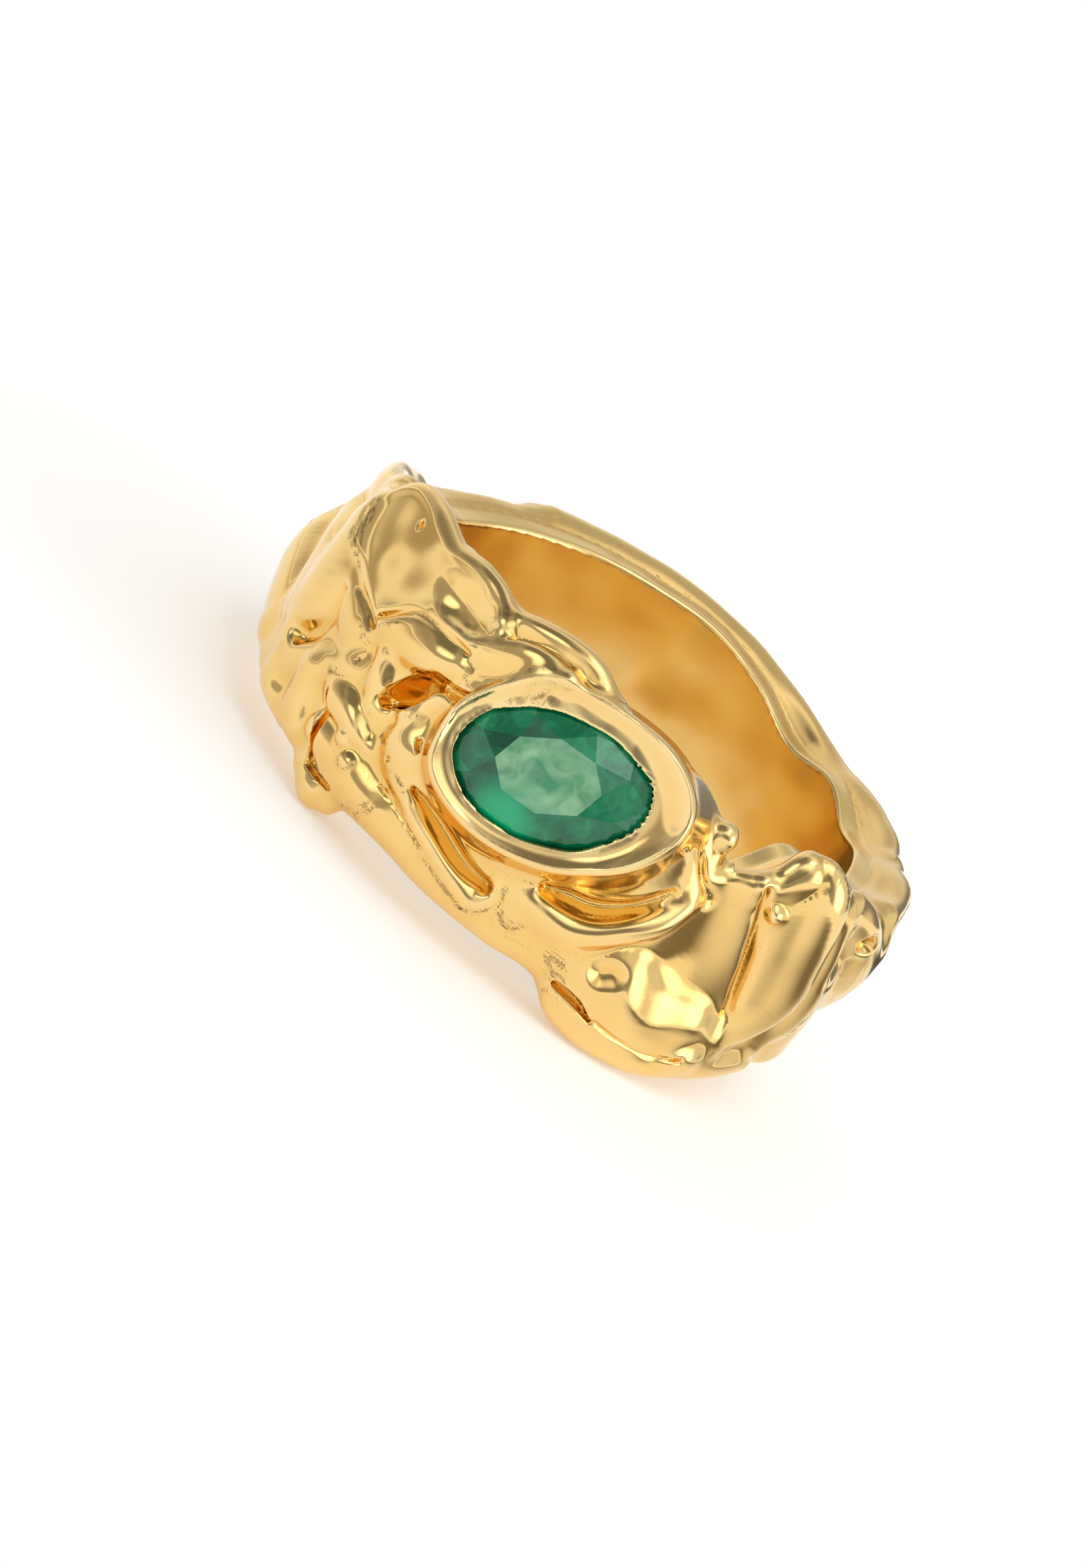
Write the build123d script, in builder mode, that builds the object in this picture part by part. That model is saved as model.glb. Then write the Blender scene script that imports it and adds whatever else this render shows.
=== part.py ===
"""Cocktail ring: an oval emerald in an eye-shaped bezel on a wide, molten-looking gold band.

Millimetres. The finger bore runs along Z and the origin is the middle of the bore. The stone looks
out along -Y, a little above the middle of the band, and its face leans up towards the upper rim.
The gold is built up as a goldsmith would fuse it: a plain sleeve lines the finger, a domed band of
molten metal covers it, and sheets, folds, drips and granules are fused on top. Each is a solid here,
and each later piece is cut back to what lies under it, so that they meet face to face.
"""

import os
from math import atan2, cos, degrees, hypot, radians, sin, sqrt, tan

from build123d import *

# ---------------------------------------------------------------- driving dimensions
bore_radius = 8.65  # finger size: 17.3 mm across
sleeve_wall = 0.75
sleeve_half_height = 3.5
sleeve_edge_round = 0.2

band_half_height = 3.8
band_wall_middle = 0.95  # molten band over the sleeve, at mid height
band_wall_edge = 0.5  # the same at the two rims

stone_length = 6.5
stone_width = 4.5
girdle_thickness = 0.14
crown_slope = 34.0  # degrees
pavilion_slope = 39.0  # degrees
table_share = 0.54  # reach of the table's corners as a share of the girdle's
star_tip_share = 0.8
lower_tip_share = 0.25
facet_count = 8

stone_height = 2.1  # of the girdle's middle above the middle of the band
stone_lean = 12.0  # degrees that the face leans up
stone_turn = 22.6  # degrees that the long axis turns out of the band's direction
stone_fit = 0.02  # clearance all round between stone and metal
culet_clearance = 0.3  # from the stone's point to the finger

crest_margin = 0.3  # from the girdle out to the bezel's crest
crest_height = 0.6  # crest above the girdle
crest_width = 0.3
bezel_flare = 0.45  # how far the wall spreads from its crest to its foot
lip_reach = 0.12  # lip over the girdle
lip_height = 0.12
lip_land = 0.08
seat_height = 0.5
gallery_share = 0.62  # light hole behind the stone, as a share of the girdle
pocket_relief = 1.3  # how much steeper the pocket is than the stone's underside

leaf_thickness = 0.75
rim_granule_radius = 0.42
small_granule_radius = 0.32
granule_sink = 0.12  # how deep a granule is bedded
lump_width = 2.4
lump_rise = 1.1
lump_half_arc = 8.0  # degrees of the band that a lump spans each way

# ---------------------------------------------------------------- sizes that follow
sleeve_radius = bore_radius + sleeve_wall
band_radius = sleeve_radius + band_wall_middle
band_edge_radius = sleeve_radius + band_wall_edge
dome_sagitta = band_radius - band_edge_radius
dome_radius = (band_half_height**2 + dome_sagitta**2) / (2 * dome_sagitta)
beyond = 2 * band_half_height  # reaches past everything along the bore
sheet_half_angle = 1.5 * degrees(atan2(band_half_height, dome_radius))

half_length = stone_length / 2
half_width = stone_width / 2
crown_rise = tan(radians(crown_slope)) * half_width  # of the cone that the crown is cut from
crown_height = (1 - table_share) * crown_rise
pavilion_depth = tan(radians(pavilion_slope)) * half_width
stone_depth = girdle_thickness + pavilion_depth  # from the girdle's top to the culet
girdle_radius = bore_radius + culet_clearance + stone_depth
pocket_depth = pocket_relief * (1 - gallery_share) * pavilion_depth


# ---------------------------------------------------------------- places on the band
def outward(angle):
    """Unit vector away from the bore: 0 degrees is -Y and 90 is +X."""
    return Vector(sin(radians(angle)), -cos(radians(angle)), 0)


def on_band(angle, level):
    """Point on the band, where level is 1 at the upper rim and -1 at the lower, and may go beyond."""
    height = level * band_half_height
    reach = min(abs(height), band_half_height)
    radius = band_radius - dome_radius + sqrt(dome_radius**2 - reach**2)
    return outward(angle) * radius + Vector(0, 0, height)


def band_plane(angle, level):
    """Plane on the band with x along the band, y up and z outward."""
    return Plane(origin=on_band(angle, level), x_dir=outward(angle + 90), z_dir=outward(angle))


# ---------------------------------------------------------------- place of the stone
face_out = outward(0) * cos(radians(stone_lean)) + Vector(0, 0, sin(radians(stone_lean)))
face_top = face_out.cross(outward(90))
stone_plane = Plane(
    origin=outward(0) * girdle_radius + Vector(0, 0, stone_height),
    x_dir=outward(90) * cos(radians(stone_turn)) + face_top * sin(radians(stone_turn)),
    z_dir=face_out,
)

# Room under the stone: a cone for its underside, then the light hole down to the finger.
with BuildPart() as stone_pocket:
    with BuildSketch(stone_plane.offset(-girdle_thickness)):
        Ellipse(half_length + stone_fit, half_width + stone_fit)
    with BuildSketch(stone_plane.offset(-girdle_thickness - pocket_depth)):
        Ellipse(gallery_share * half_length, gallery_share * half_width)
    loft()
    with BuildSketch(stone_plane.offset(-girdle_thickness)):
        Ellipse(gallery_share * half_length, gallery_share * half_width)
    extrude(amount=-2 * stone_depth)

# ---------------------------------------------------------------- finger sleeve
with BuildPart() as finger_sleeve:
    Cylinder(sleeve_radius, 2 * sleeve_half_height)
    Hole(bore_radius)
    fillet(finger_sleeve.edges().filter_by(GeomType.CIRCLE), sleeve_edge_round)
    add(stone_pocket.part, mode=Mode.SUBTRACT)

# ---------------------------------------------------------------- molten band
with BuildPart() as solid_band:
    with BuildSketch(Plane.XZ):
        with BuildLine():
            dome = ThreePointArc(
                (band_edge_radius, -band_half_height),
                (band_radius, 0),
                (band_edge_radius, band_half_height),
            )
            Polyline(dome @ 1, (0, band_half_height), (0, -band_half_height), dome @ 0)
        make_face()
    revolve(axis=Axis.Z)

with BuildPart() as molten_band:
    add(solid_band.part)
    Hole(sleeve_radius)
    add(stone_pocket.part, mode=Mode.SUBTRACT)

# What every fused piece is cut back to: the band, and the sleeve drawn long.
with BuildPart() as core:
    add(solid_band.part)
    Cylinder(sleeve_radius, 2 * beyond)

# ---------------------------------------------------------------- emerald
def girdle_point(step, reach, height):
    """Point of the stone: step counts half facets round it, reach is a share of the girdle's."""
    turn = radians(step * 180 / facet_count)
    local = (reach * half_length * cos(turn), reach * half_width * sin(turn), height)
    return stone_plane.from_local_coords(local)


def facet(a, b, c):
    """Plane through three points of the stone that faces away from its middle."""
    normal = (b - a).cross(c - a)
    middle = stone_plane.from_local_coords((0, 0, -girdle_thickness / 2))
    if normal.dot(a - middle) < 0:
        normal = -normal
    return Plane(origin=a, z_dir=normal)


half_facet = cos(radians(180 / facet_count))
main_reach = 1 / half_facet  # where two neighbouring main facets meet at the girdle's height
star_tip_height = (1 - star_tip_share * half_facet) * crown_rise
lower_tip_height = -girdle_thickness - (1 - lower_tip_share * half_facet) * pavilion_depth

facets = []
for main in range(0, 2 * facet_count, 2):
    tip = main + 1
    crown_corner = girdle_point(main, table_share, crown_height)
    next_corner = girdle_point(main + 2, table_share, crown_height)
    star_tip = girdle_point(tip, star_tip_share, star_tip_height)
    lower_tip = girdle_point(tip, lower_tip_share, lower_tip_height)
    culet = girdle_point(main, 0, -stone_depth)
    # Main facets above and below, then the star, then the pairs of girdle facets.
    for point, height in ((crown_corner, 0), (culet, -girdle_thickness)):
        left = girdle_point(main - 1, main_reach, height)
        right = girdle_point(main + 1, main_reach, height)
        facets.append(facet(point, left, right))
    facets.append(facet(crown_corner, next_corner, star_tip))
    for corner in (main, main + 2):
        for point, height in ((star_tip, 0), (lower_tip, -girdle_thickness)):
            near = girdle_point(corner, 1, height)
            far = girdle_point(tip, 1, height)
            facets.append(facet(point, near, far))

with BuildPart() as emerald:
    with BuildSketch(stone_plane.offset(-stone_depth)):
        Ellipse(half_length, half_width)
    extrude(amount=stone_depth + crown_height)
    for plane in facets:
        split(bisect_by=plane, keep=Keep.BOTTOM)

# ---------------------------------------------------------------- bezel wall
# Crest of the eye-shaped frame from its left corner over the top, as shares of the stone's half
# length and half width with the crest's margin added.
crest_shares = [
    (-0.96, -0.38),
    (-0.90, 0.09),
    (-0.70, 0.62),
    (-0.37, 0.95),
    (-0.20, 1.13),
    (0.13, 1.03),
    (0.44, 0.93),
    (0.75, 0.74),
    (0.96, 0.51),
    (1.07, 0.26),
    (1.05, -0.05),
    (0.93, -0.38),
    (0.68, -0.72),
    (0.30, -0.96),
    (-0.13, -0.95),
    (-0.48, -0.82),
    (-0.78, -0.58),
]
foot_depth = crest_height + girdle_radius - bore_radius  # from the crest down inside the band


def crest_outline(spread):
    """Points of the crest, moved outward by spread."""
    points = []
    for along, across in crest_shares:
        x = along * (half_length + crest_margin)
        y = across * (half_width + crest_margin)
        grown = 1 + spread / hypot(x, y)
        points.append((x * grown, y * grown))
    return points


with BuildPart() as bezel_block:
    for depth, spread in ((0, crest_width / 2), (foot_depth, crest_width / 2 + bezel_flare)):
        with BuildSketch(stone_plane.offset(crest_height - depth)):
            with BuildLine():
                Spline(*crest_outline(spread), periodic=True)
            make_face()
    loft()

with BuildPart() as bezel_wall:
    add(bezel_block.part)
    # Dish from the crest down to the lip.
    with BuildSketch(stone_plane.offset(crest_height)):
        with BuildLine():
            Spline(*crest_outline(-crest_width / 2), periodic=True)
        make_face()
    with BuildSketch(stone_plane.offset(lip_height + lip_land)):
        Ellipse(half_length - lip_reach, half_width - lip_reach)
    loft(mode=Mode.SUBTRACT)
    with BuildSketch(stone_plane.offset(lip_height)):
        Ellipse(half_length - lip_reach, half_width - lip_reach)
    extrude(amount=lip_land, mode=Mode.SUBTRACT)
    # Underside of the lip, then the room for the girdle and the seat.
    with BuildSketch(stone_plane.offset(lip_height)):
        Ellipse(half_length - lip_reach, half_width - lip_reach)
    with BuildSketch(stone_plane):
        Ellipse(half_length + stone_fit, half_width + stone_fit)
    loft(mode=Mode.SUBTRACT)
    with BuildSketch(stone_plane):
        Ellipse(half_length + stone_fit, half_width + stone_fit)
    extrude(amount=-girdle_thickness - seat_height, mode=Mode.SUBTRACT)
    add(stone_pocket.part, mode=Mode.SUBTRACT)
    add(core.part, mode=Mode.SUBTRACT)

# ---------------------------------------------------------------- bezel seat
with BuildPart() as bezel_seat:
    with BuildSketch(stone_plane.offset(-girdle_thickness)):
        Ellipse(half_length + stone_fit, half_width + stone_fit)
    extrude(amount=-seat_height)
    add(stone_pocket.part, mode=Mode.SUBTRACT)
    add(core.part, mode=Mode.SUBTRACT)


# ---------------------------------------------------------------- fused pieces
def fold(stations):
    """Smooth fold through (angle, level, across, rise) stations: its middle line lies on the band."""
    middle_line = [on_band(angle, level) for angle, level, across, rise in stations]
    with BuildPart() as body:
        for i, (angle, level, across, rise) in enumerate(stations):
            before = middle_line[max(i - 1, 0)]
            after = middle_line[min(i + 1, len(middle_line) - 1)]
            along = after - before
            sideways = outward(angle).cross(along)
            with BuildSketch(Plane(origin=middle_line[i], x_dir=sideways, z_dir=along)):
                Ellipse(across / 2, rise)
        loft()
    return body.part


def sheet(places, thickness):
    """Even sheet on the band inside the smooth outline through (angle, level) places."""
    middle = sum(angle for angle, level in places) / len(places)
    flat = band_plane(middle, 0)
    outline = [flat.to_local_coords(on_band(angle, level)) for angle, level in places]
    with BuildPart() as body:
        with BuildSketch(Plane.XZ):
            with BuildLine():
                top = CenterArc(
                    (band_radius - dome_radius, 0),
                    dome_radius + thickness,
                    start_angle=-sheet_half_angle,
                    arc_size=2 * sheet_half_angle,
                )
                Polyline(top @ 1, (0, (top @ 1).Y), (0, (top @ 0).Y), top @ 0)
            make_face()
        revolve(axis=Axis.Z)
        with BuildSketch(flat.offset(-bore_radius)):
            with BuildLine():
                Spline(*[(point.X, point.Y) for point in outline], periodic=True)
            make_face()
        extrude(amount=beyond + bore_radius, mode=Mode.INTERSECT)
    return body.part


def cut_back(*lower_pieces):
    """Cut the piece being built back to what it is fused on, and drop the crumbs that leaves."""
    for lower in (core, bezel_block, *lower_pieces):
        add(lower.part, mode=Mode.SUBTRACT)
    largest = solids().sort_by(SortBy.VOLUME)[-1]
    add(largest, mode=Mode.REPLACE)


# Leaf that laps over the upper rim, left of the stone.
with BuildPart() as leaf_sheet:
    outline = [
        (-64, 0.84),
        (-60, 1.29),
        (-50, 1.34),
        (-38, 1.37),
        (-25, 1.37),
        (-25, 0.97),
        (-36, 0.58),
        (-45, 0.21),
        (-55, 0.34),
        (-61, 0.53),
    ]
    add(sheet(outline, leaf_thickness))
    cut_back()

# Left of the stone: a hood over a hollow, a pillow behind the stone, a tongue, and the shoulder.
with BuildPart() as hood_fold:
    stations = [
        (-42, 0.24, 0.7, 0.6),
        (-37, 0.42, 1.3, 1.0),
        (-30, 0.58, 1.4, 1.15),
        (-23, 0.66, 0.7, 0.7),
    ]
    add(fold(stations))
    cut_back(leaf_sheet)

with BuildPart() as pillow_fold:
    stations = [
        (-25, 0.82, 0.6, 0.6),
        (-19, 0.97, 1.5, 1.1),
        (-13, 1.13, 1.5, 1.0),
        (-8, 1.24, 0.6, 0.5),
    ]
    add(fold(stations))
    cut_back(leaf_sheet, hood_fold)

with BuildPart() as tongue_fold:
    stations = [
        (-42, -0.18, 0.7, 0.6),
        (-37, -0.29, 1.2, 1.15),
        (-31, -0.37, 1.0, 1.1),
        (-26, -0.42, 0.5, 0.5),
    ]
    add(fold(stations))
    cut_back(leaf_sheet, hood_fold)

with BuildPart() as left_shoulder_fold:
    stations = [
        (-69, 0.89, 1.0, 0.8),
        (-62, 0.42, 2.2, 1.2),
        (-55, 0.08, 2.4, 1.3),
        (-48, -0.11, 1.6, 1.1),
        (-43, -0.24, 0.7, 0.5),
    ]
    add(fold(stations))
    cut_back(leaf_sheet, tongue_fold)

with BuildPart() as left_drip:
    stations = [
        (-38, -0.84, 0.8, 0.5),
        (-34, -0.95, 1.3, 1.05),
        (-30, -0.99, 1.4, 1.1),
        (-27, -0.95, 0.7, 0.6),
    ]
    add(fold(stations))
    cut_back(tongue_fold, left_shoulder_fold)

# Under the stone: a twisted ribbon, the lip that laps over the lower rim, and a second ribbon.
with BuildPart() as twisted_ribbon:
    stations = [
        (-22, -0.34, 0.5, 0.5),
        (-14, -0.45, 0.8, 0.9),
        (-5, -0.55, 0.8, 0.9),
        (4, -0.63, 0.5, 0.5),
    ]
    add(fold(stations))
    cut_back(tongue_fold)

with BuildPart() as lower_lip:
    stations = [
        (-25, -0.84, 0.5, 0.5),
        (-12, -0.82, 1.2, 0.85),
        (0, -0.83, 1.1, 0.75),
        (12, -0.79, 1.2, 0.75),
        (22, -0.79, 0.5, 0.5),
    ]
    add(fold(stations))
    cut_back(left_drip, twisted_ribbon)

with BuildPart() as under_ribbon:
    stations = [
        (8, -0.37, 0.5, 0.5),
        (14, -0.34, 1.1, 1.0),
        (22, -0.21, 1.1, 1.1),
        (28, 0.05, 1.0, 1.0),
        (33, 0.37, 0.6, 0.5),
    ]
    add(fold(stations))
    cut_back(twisted_ribbon, lower_lip)

# Right of the stone: the belly, and the roll beyond the trough.
with BuildPart() as belly_fold:
    stations = [
        (23, -0.55, 1.0, 0.5),
        (30, -0.55, 2.9, 1.15),
        (38, -0.58, 3.6, 1.3),
        (47, -0.61, 3.2, 1.2),
        (57, -0.58, 1.0, 0.5),
    ]
    add(fold(stations))
    cut_back(lower_lip, under_ribbon)

with BuildPart() as rolled_fold:
    stations = [
        (49, 1.18, 1.0, 0.7),
        (53, 1.03, 1.6, 1.2),
        (58, 0.5, 1.7, 1.3),
        (61, 0.0, 1.7, 1.25),
        (60, -0.37, 0.9, 0.6),
    ]
    add(fold(stations))
    cut_back(belly_fold)

# Round the back.
with BuildPart() as left_rear_fold:
    stations = [
        (-107, 0.37, 1.0, 0.7),
        (-98, 0.08, 2.4, 1.2),
        (-88, -0.24, 2.5, 1.4),
        (-77, -0.55, 1.0, 0.6),
    ]
    add(fold(stations))
    cut_back(left_shoulder_fold)

with BuildPart() as right_rear_fold:
    stations = [
        (66, 1.0, 1.0, 0.7),
        (76, 0.74, 1.6, 1.2),
        (88, 0.32, 1.8, 1.25),
        (98, -0.05, 1.0, 0.6),
    ]
    add(fold(stations))
    cut_back(rolled_fold)

with BuildPart() as rear_rim_roll:
    stations = [
        (-154, 1.03, 0.5, 0.4),
        (-143, 1.0, 1.6, 0.9),
        (-128, 0.95, 1.7, 1.0),
        (-113, 0.95, 1.6, 0.9),
        (-102, 0.97, 0.5, 0.4),
    ]
    add(fold(stations))
    cut_back()

with BuildPart() as back_left_fold:
    stations = [
        (-110, -0.79, 1.0, 0.6),
        (-121, -0.42, 2.8, 1.0),
        (-134, 0.03, 3.0, 1.1),
        (-147, 0.39, 1.0, 0.6),
    ]
    add(fold(stations))
    cut_back(left_rear_fold, rear_rim_roll)

with BuildPart() as back_middle_fold:
    stations = [
        (-160, 0.76, 1.0, 0.6),
        (-171, 0.34, 2.8, 1.0),
        (178, -0.24, 3.0, 1.1),
        (169, -0.76, 1.0, 0.6),
    ]
    add(fold(stations))
    cut_back(back_left_fold)

with BuildPart() as back_right_fold:
    stations = [
        (153, -0.79, 1.0, 0.6),
        (142, -0.32, 2.9, 1.0),
        (129, 0.11, 3.1, 1.1),
        (116, 0.45, 1.0, 0.6),
    ]
    add(fold(stations))
    cut_back(back_middle_fold, right_rear_fold)

# ---------------------------------------------------------------- granules and lumps
with BuildPart() as rim_granule:
    above_rim = band_half_height + rim_granule_radius - granule_sink
    seat_of_granule = outward(26) * (sleeve_radius + band_edge_radius) / 2
    with Locations(seat_of_granule + Vector(0, 0, above_rim)):
        Sphere(rim_granule_radius)
    cut_back()

with BuildPart() as small_granules:
    for angle, level in ((42, 0.88), (47, 0.72), (36, 0.55), (-31, -0.42), (-28, -0.62)):
        with Locations(on_band(angle, level) + outward(angle) * (small_granule_radius - granule_sink)):
            Sphere(small_granule_radius)
    for lower in (core, under_ribbon, twisted_ribbon, belly_fold, rolled_fold, tongue_fold):
        add(lower.part, mode=Mode.SUBTRACT)

with BuildPart() as rear_lumps:
    for angle, level in ((104, 0.70), (121, 0.80), (138, 0.74), (155, 0.66)):
        stations = [
            (angle - lump_half_arc, level, lump_width / 4, lump_rise / 2),
            (angle, level, lump_width, lump_rise),
            (angle + lump_half_arc, level, lump_width / 4, lump_rise / 2),
        ]
        add(fold(stations))
    for lower in (core, right_rear_fold, back_right_fold):
        add(lower.part, mode=Mode.SUBTRACT)

# ---------------------------------------------------------------- export
pieces = {
    "finger_sleeve": finger_sleeve,
    "molten_band": molten_band,
    "bezel_wall": bezel_wall,
    "bezel_seat": bezel_seat,
    "emerald": emerald,
    "leaf_sheet": leaf_sheet,
    "hood_fold": hood_fold,
    "pillow_fold": pillow_fold,
    "tongue_fold": tongue_fold,
    "left_shoulder_fold": left_shoulder_fold,
    "left_drip": left_drip,
    "twisted_ribbon": twisted_ribbon,
    "lower_lip": lower_lip,
    "under_ribbon": under_ribbon,
    "belly_fold": belly_fold,
    "rolled_fold": rolled_fold,
    "left_rear_fold": left_rear_fold,
    "right_rear_fold": right_rear_fold,
    "rear_rim_roll": rear_rim_roll,
    "back_left_fold": back_left_fold,
    "back_middle_fold": back_middle_fold,
    "back_right_fold": back_right_fold,
    "rim_granule": rim_granule,
    "small_granules": small_granules,
    "rear_lumps": rear_lumps,
}
os.makedirs("parts", exist_ok=True)
for name, piece in pieces.items():
    piece.part.label = name
    export_step(piece.part, f"parts/{name}.step")
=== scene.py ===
# %% [markdown]
# # A molten-gold cocktail ring with an oval emerald
# This lesson dresses a ring frame in Blender. The real ring is lost-wax cast: wax was dripped and
# folded round a mandrel, cast in 18 carat yellow gold and polished until every fold became a mirror.
# Folds like these could be sculpted by hand, but a script needs numbers, so each fold is written
# as a soft solid given by a few stations along its spine, and the solids are melted together.
# The frame comes first, because it holds the pieces that are dressed here and the cut stone.

# %% Load the frame
import math
import bmesh
import bpy
import numpy as np
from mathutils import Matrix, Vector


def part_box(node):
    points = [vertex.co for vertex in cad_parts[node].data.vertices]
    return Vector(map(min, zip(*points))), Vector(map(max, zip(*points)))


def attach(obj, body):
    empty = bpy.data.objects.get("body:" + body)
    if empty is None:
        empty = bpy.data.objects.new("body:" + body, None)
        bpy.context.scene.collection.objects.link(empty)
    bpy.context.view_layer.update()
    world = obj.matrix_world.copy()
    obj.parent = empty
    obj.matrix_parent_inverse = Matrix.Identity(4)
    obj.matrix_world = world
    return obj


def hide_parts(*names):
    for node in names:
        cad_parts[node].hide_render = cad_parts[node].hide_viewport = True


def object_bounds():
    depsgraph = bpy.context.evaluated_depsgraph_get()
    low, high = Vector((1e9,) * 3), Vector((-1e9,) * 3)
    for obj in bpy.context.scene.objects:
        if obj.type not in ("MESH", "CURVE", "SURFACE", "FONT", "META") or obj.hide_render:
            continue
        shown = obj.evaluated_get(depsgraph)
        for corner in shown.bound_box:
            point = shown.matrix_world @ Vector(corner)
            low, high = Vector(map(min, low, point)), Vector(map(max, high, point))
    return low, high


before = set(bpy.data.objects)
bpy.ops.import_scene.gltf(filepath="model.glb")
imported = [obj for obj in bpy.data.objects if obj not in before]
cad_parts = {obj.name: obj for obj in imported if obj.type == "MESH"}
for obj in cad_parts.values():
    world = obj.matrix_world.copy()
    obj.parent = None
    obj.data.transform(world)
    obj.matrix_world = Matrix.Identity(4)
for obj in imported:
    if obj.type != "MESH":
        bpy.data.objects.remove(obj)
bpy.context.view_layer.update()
import openvdb as vdb
from mathutils import Matrix, Vector
MM = 0.001

# %% [markdown]
# ## A workspace unrolled from the finger
# A ring is a strip bent into a circle, so its folds are easiest to place on the unrolled strip:
# an angle from the stone, a height along the finger and a radius. A goldsmith rolls wax the same
# way, flat first and round the mandrel after. The grid below holds, for each point of that
# unrolled space, how far it is from the gold: below zero is inside the metal. Angles are in
# degrees from the stone, positive to the right, and everything else is in millimetres.

# %% The unrolled grid
BORE = 8.65
SLEEVE_OUTSIDE = 9.5
BAND_INSIDE = 9.3
WRAP = 10.5  # radius at which the strip is unrolled
STEP = 0.0615
FAR = 2.0  # distance written where nothing is near
FULL_TURN = 2 * math.pi * WRAP
AROUND = 2 * round(math.pi * WRAP / STEP)
ARC = 2 * math.pi * WRAP / AROUND
heights = np.arange(-5.6, 6.1, STEP, dtype=np.float32)
radii = np.arange(8.2, 12.7, STEP, dtype=np.float32)
arcs = (np.arange(AROUND) - AROUND / 2).astype(np.float32) * np.float32(ARC)
size = (AROUND, len(heights), len(radii))
every_arc = np.arange(AROUND)
every_height = slice(0, len(heights))
print("grid", AROUND, len(heights), len(radii), "step", STEP)


def unrolled(angle):
    return math.radians(angle) * WRAP


# %% [markdown]
# A fold is drawn as a spine with stations, each with an angle, a height, a radius, half a width
# and half a thickness. A Catmull-Rom curve runs through them, as a bent wire would, and the
# section is an ellipse that changes smoothly from station to station, like rolled wax.

# %% Spines and their nearest points
def smooth_run(stations, closed=False, pieces=6):
    rows = np.array(stations, dtype=np.float64)
    if closed:
        rows = np.vstack([rows[-1], rows, rows[0], rows[1]])
    else:
        rows = np.vstack([2 * rows[0] - rows[1], rows, 2 * rows[-1] - rows[-2]])
        rows[0, 2:], rows[-1, 2:] = rows[1, 2:], rows[-2, 2:]
    made = []
    for p, q, r, s in zip(rows[:-3], rows[1:-2], rows[2:-1], rows[3:]):
        for t in np.arange(pieces) / pieces:
            made.append(0.5 * (2 * q + (r - p) * t + (2 * p - 5 * q + 4 * r - s) * t**2
                               + (3 * q - p - 3 * r + s) * t**3))
    made.append(rows[-2])
    return np.array(made)


def nearest(line, across, along):
    gap = np.full(across.shape, np.inf, dtype=np.float32)
    carried = [np.zeros(across.shape, dtype=np.float32) for _ in range(line.shape[1] - 2)]
    for p, q in zip(line[:-1], line[1:]):
        run = q - p
        length = run[0]**2 + run[1]**2 + 1e-12
        t = np.clip(((across - p[0]) * run[0] + (along - p[1]) * run[1]) / length, 0, 1)
        here = (across - p[0] - t * run[0])**2 + (along - p[1] - t * run[1])**2
        closer = here < gap
        gap = np.where(closer, here, gap)
        carried = [np.where(closer, p[2 + k] + t * run[2 + k], c) for k, c in enumerate(carried)]
    return np.sqrt(gap), carried


def patch(line, reach):
    low = math.floor((line[:, 0].min() - reach) / ARC) + AROUND // 2
    high = math.ceil((line[:, 0].max() + reach) / ARC) + AROUND // 2
    rows = np.arange(low, high + 1)
    first, last = np.searchsorted(heights, [line[:, 1].min() - reach, line[:, 1].max() + reach])
    span = slice(int(first), int(last))
    across = ((rows - AROUND / 2) * ARC).astype(np.float32)
    return rows % AROUND, span, np.meshgrid(across, heights[span], indexing="ij")


# %% [markdown]
# Each shape returns its patch of the grid and the distances there. A tube is the rolled fold, a
# plate is a flattened sheet of wax with a rounded edge, draped over a few given radii.

# %% Tubes and plates
ROOM = 0.9  # how far past a shape its patch of the grid reaches


def tube(stations):
    line = smooth_run([(unrolled(s[0]),) + tuple(s[1:]) for s in stations])
    rows, span, (across, along) = patch(line, float(line[:, 3].max()) + ROOM)
    gap, (middle, wide, thick) = nearest(line, across, along)
    x = (gap / wide)[..., None]
    y = (radii - middle[..., None]) / thick[..., None]
    k0 = np.sqrt(x * x + y * y)
    k1 = np.sqrt((x / wide[..., None])**2 + (y / thick[..., None])**2) + 1e-6
    return rows, span, (k0 * (k0 - 1) / k1).astype(np.float32)


def outline_gap(line, across, along):
    gap, _ = nearest(line, across, along)
    inside = np.zeros(across.shape, dtype=bool)
    for p, q in zip(line[:-1], line[1:]):
        if p[1] != q[1]:
            crosses = (along < p[1]) != (along < q[1])
            inside ^= crosses & (across < p[0] + (along - p[1]) * (q[0] - p[0]) / (q[1] - p[1]))
    return np.where(inside, -gap, gap)


def draped(places, across, along):
    def terms(u, v):
        return np.stack([np.ones_like(u), u, v, u * u, u * v, v * v], axis=-1)

    given = np.array([(unrolled(angle), height, radius) for angle, height, radius in places])
    bend = np.linalg.lstsq(terms(given[:, 0], given[:, 1]), given[:, 2], rcond=None)[0]
    return terms(across, along) @ bend


def plate(outline, places, half, rounding):
    line = smooth_run([(unrolled(a), z) for a, z in outline], closed=True, pieces=4)
    rows, span, (across, along) = patch(line, ROOM)
    side = outline_gap(line, across, along)[..., None] + rounding
    level = np.abs(radii - draped(places, across, along)[..., None]) - half + rounding
    outer = np.sqrt(np.maximum(side, 0)**2 + np.maximum(level, 0)**2)
    return rows, span, (outer + np.minimum(np.maximum(side, level), 0) - rounding).astype(np.float32)


# %% Melting and carving
def melt(a, b, soft):
    h = np.maximum(soft - np.abs(a - b), 0) / soft
    return np.minimum(a, b) - h * h * soft * 0.25


def carve(a, b, soft):
    return -melt(-a, -b, soft)


print("a soft edge of 0.4 mm fills a corner by", round(-float(melt(0.0, 0.0, 0.4)), 2), "mm")

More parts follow.
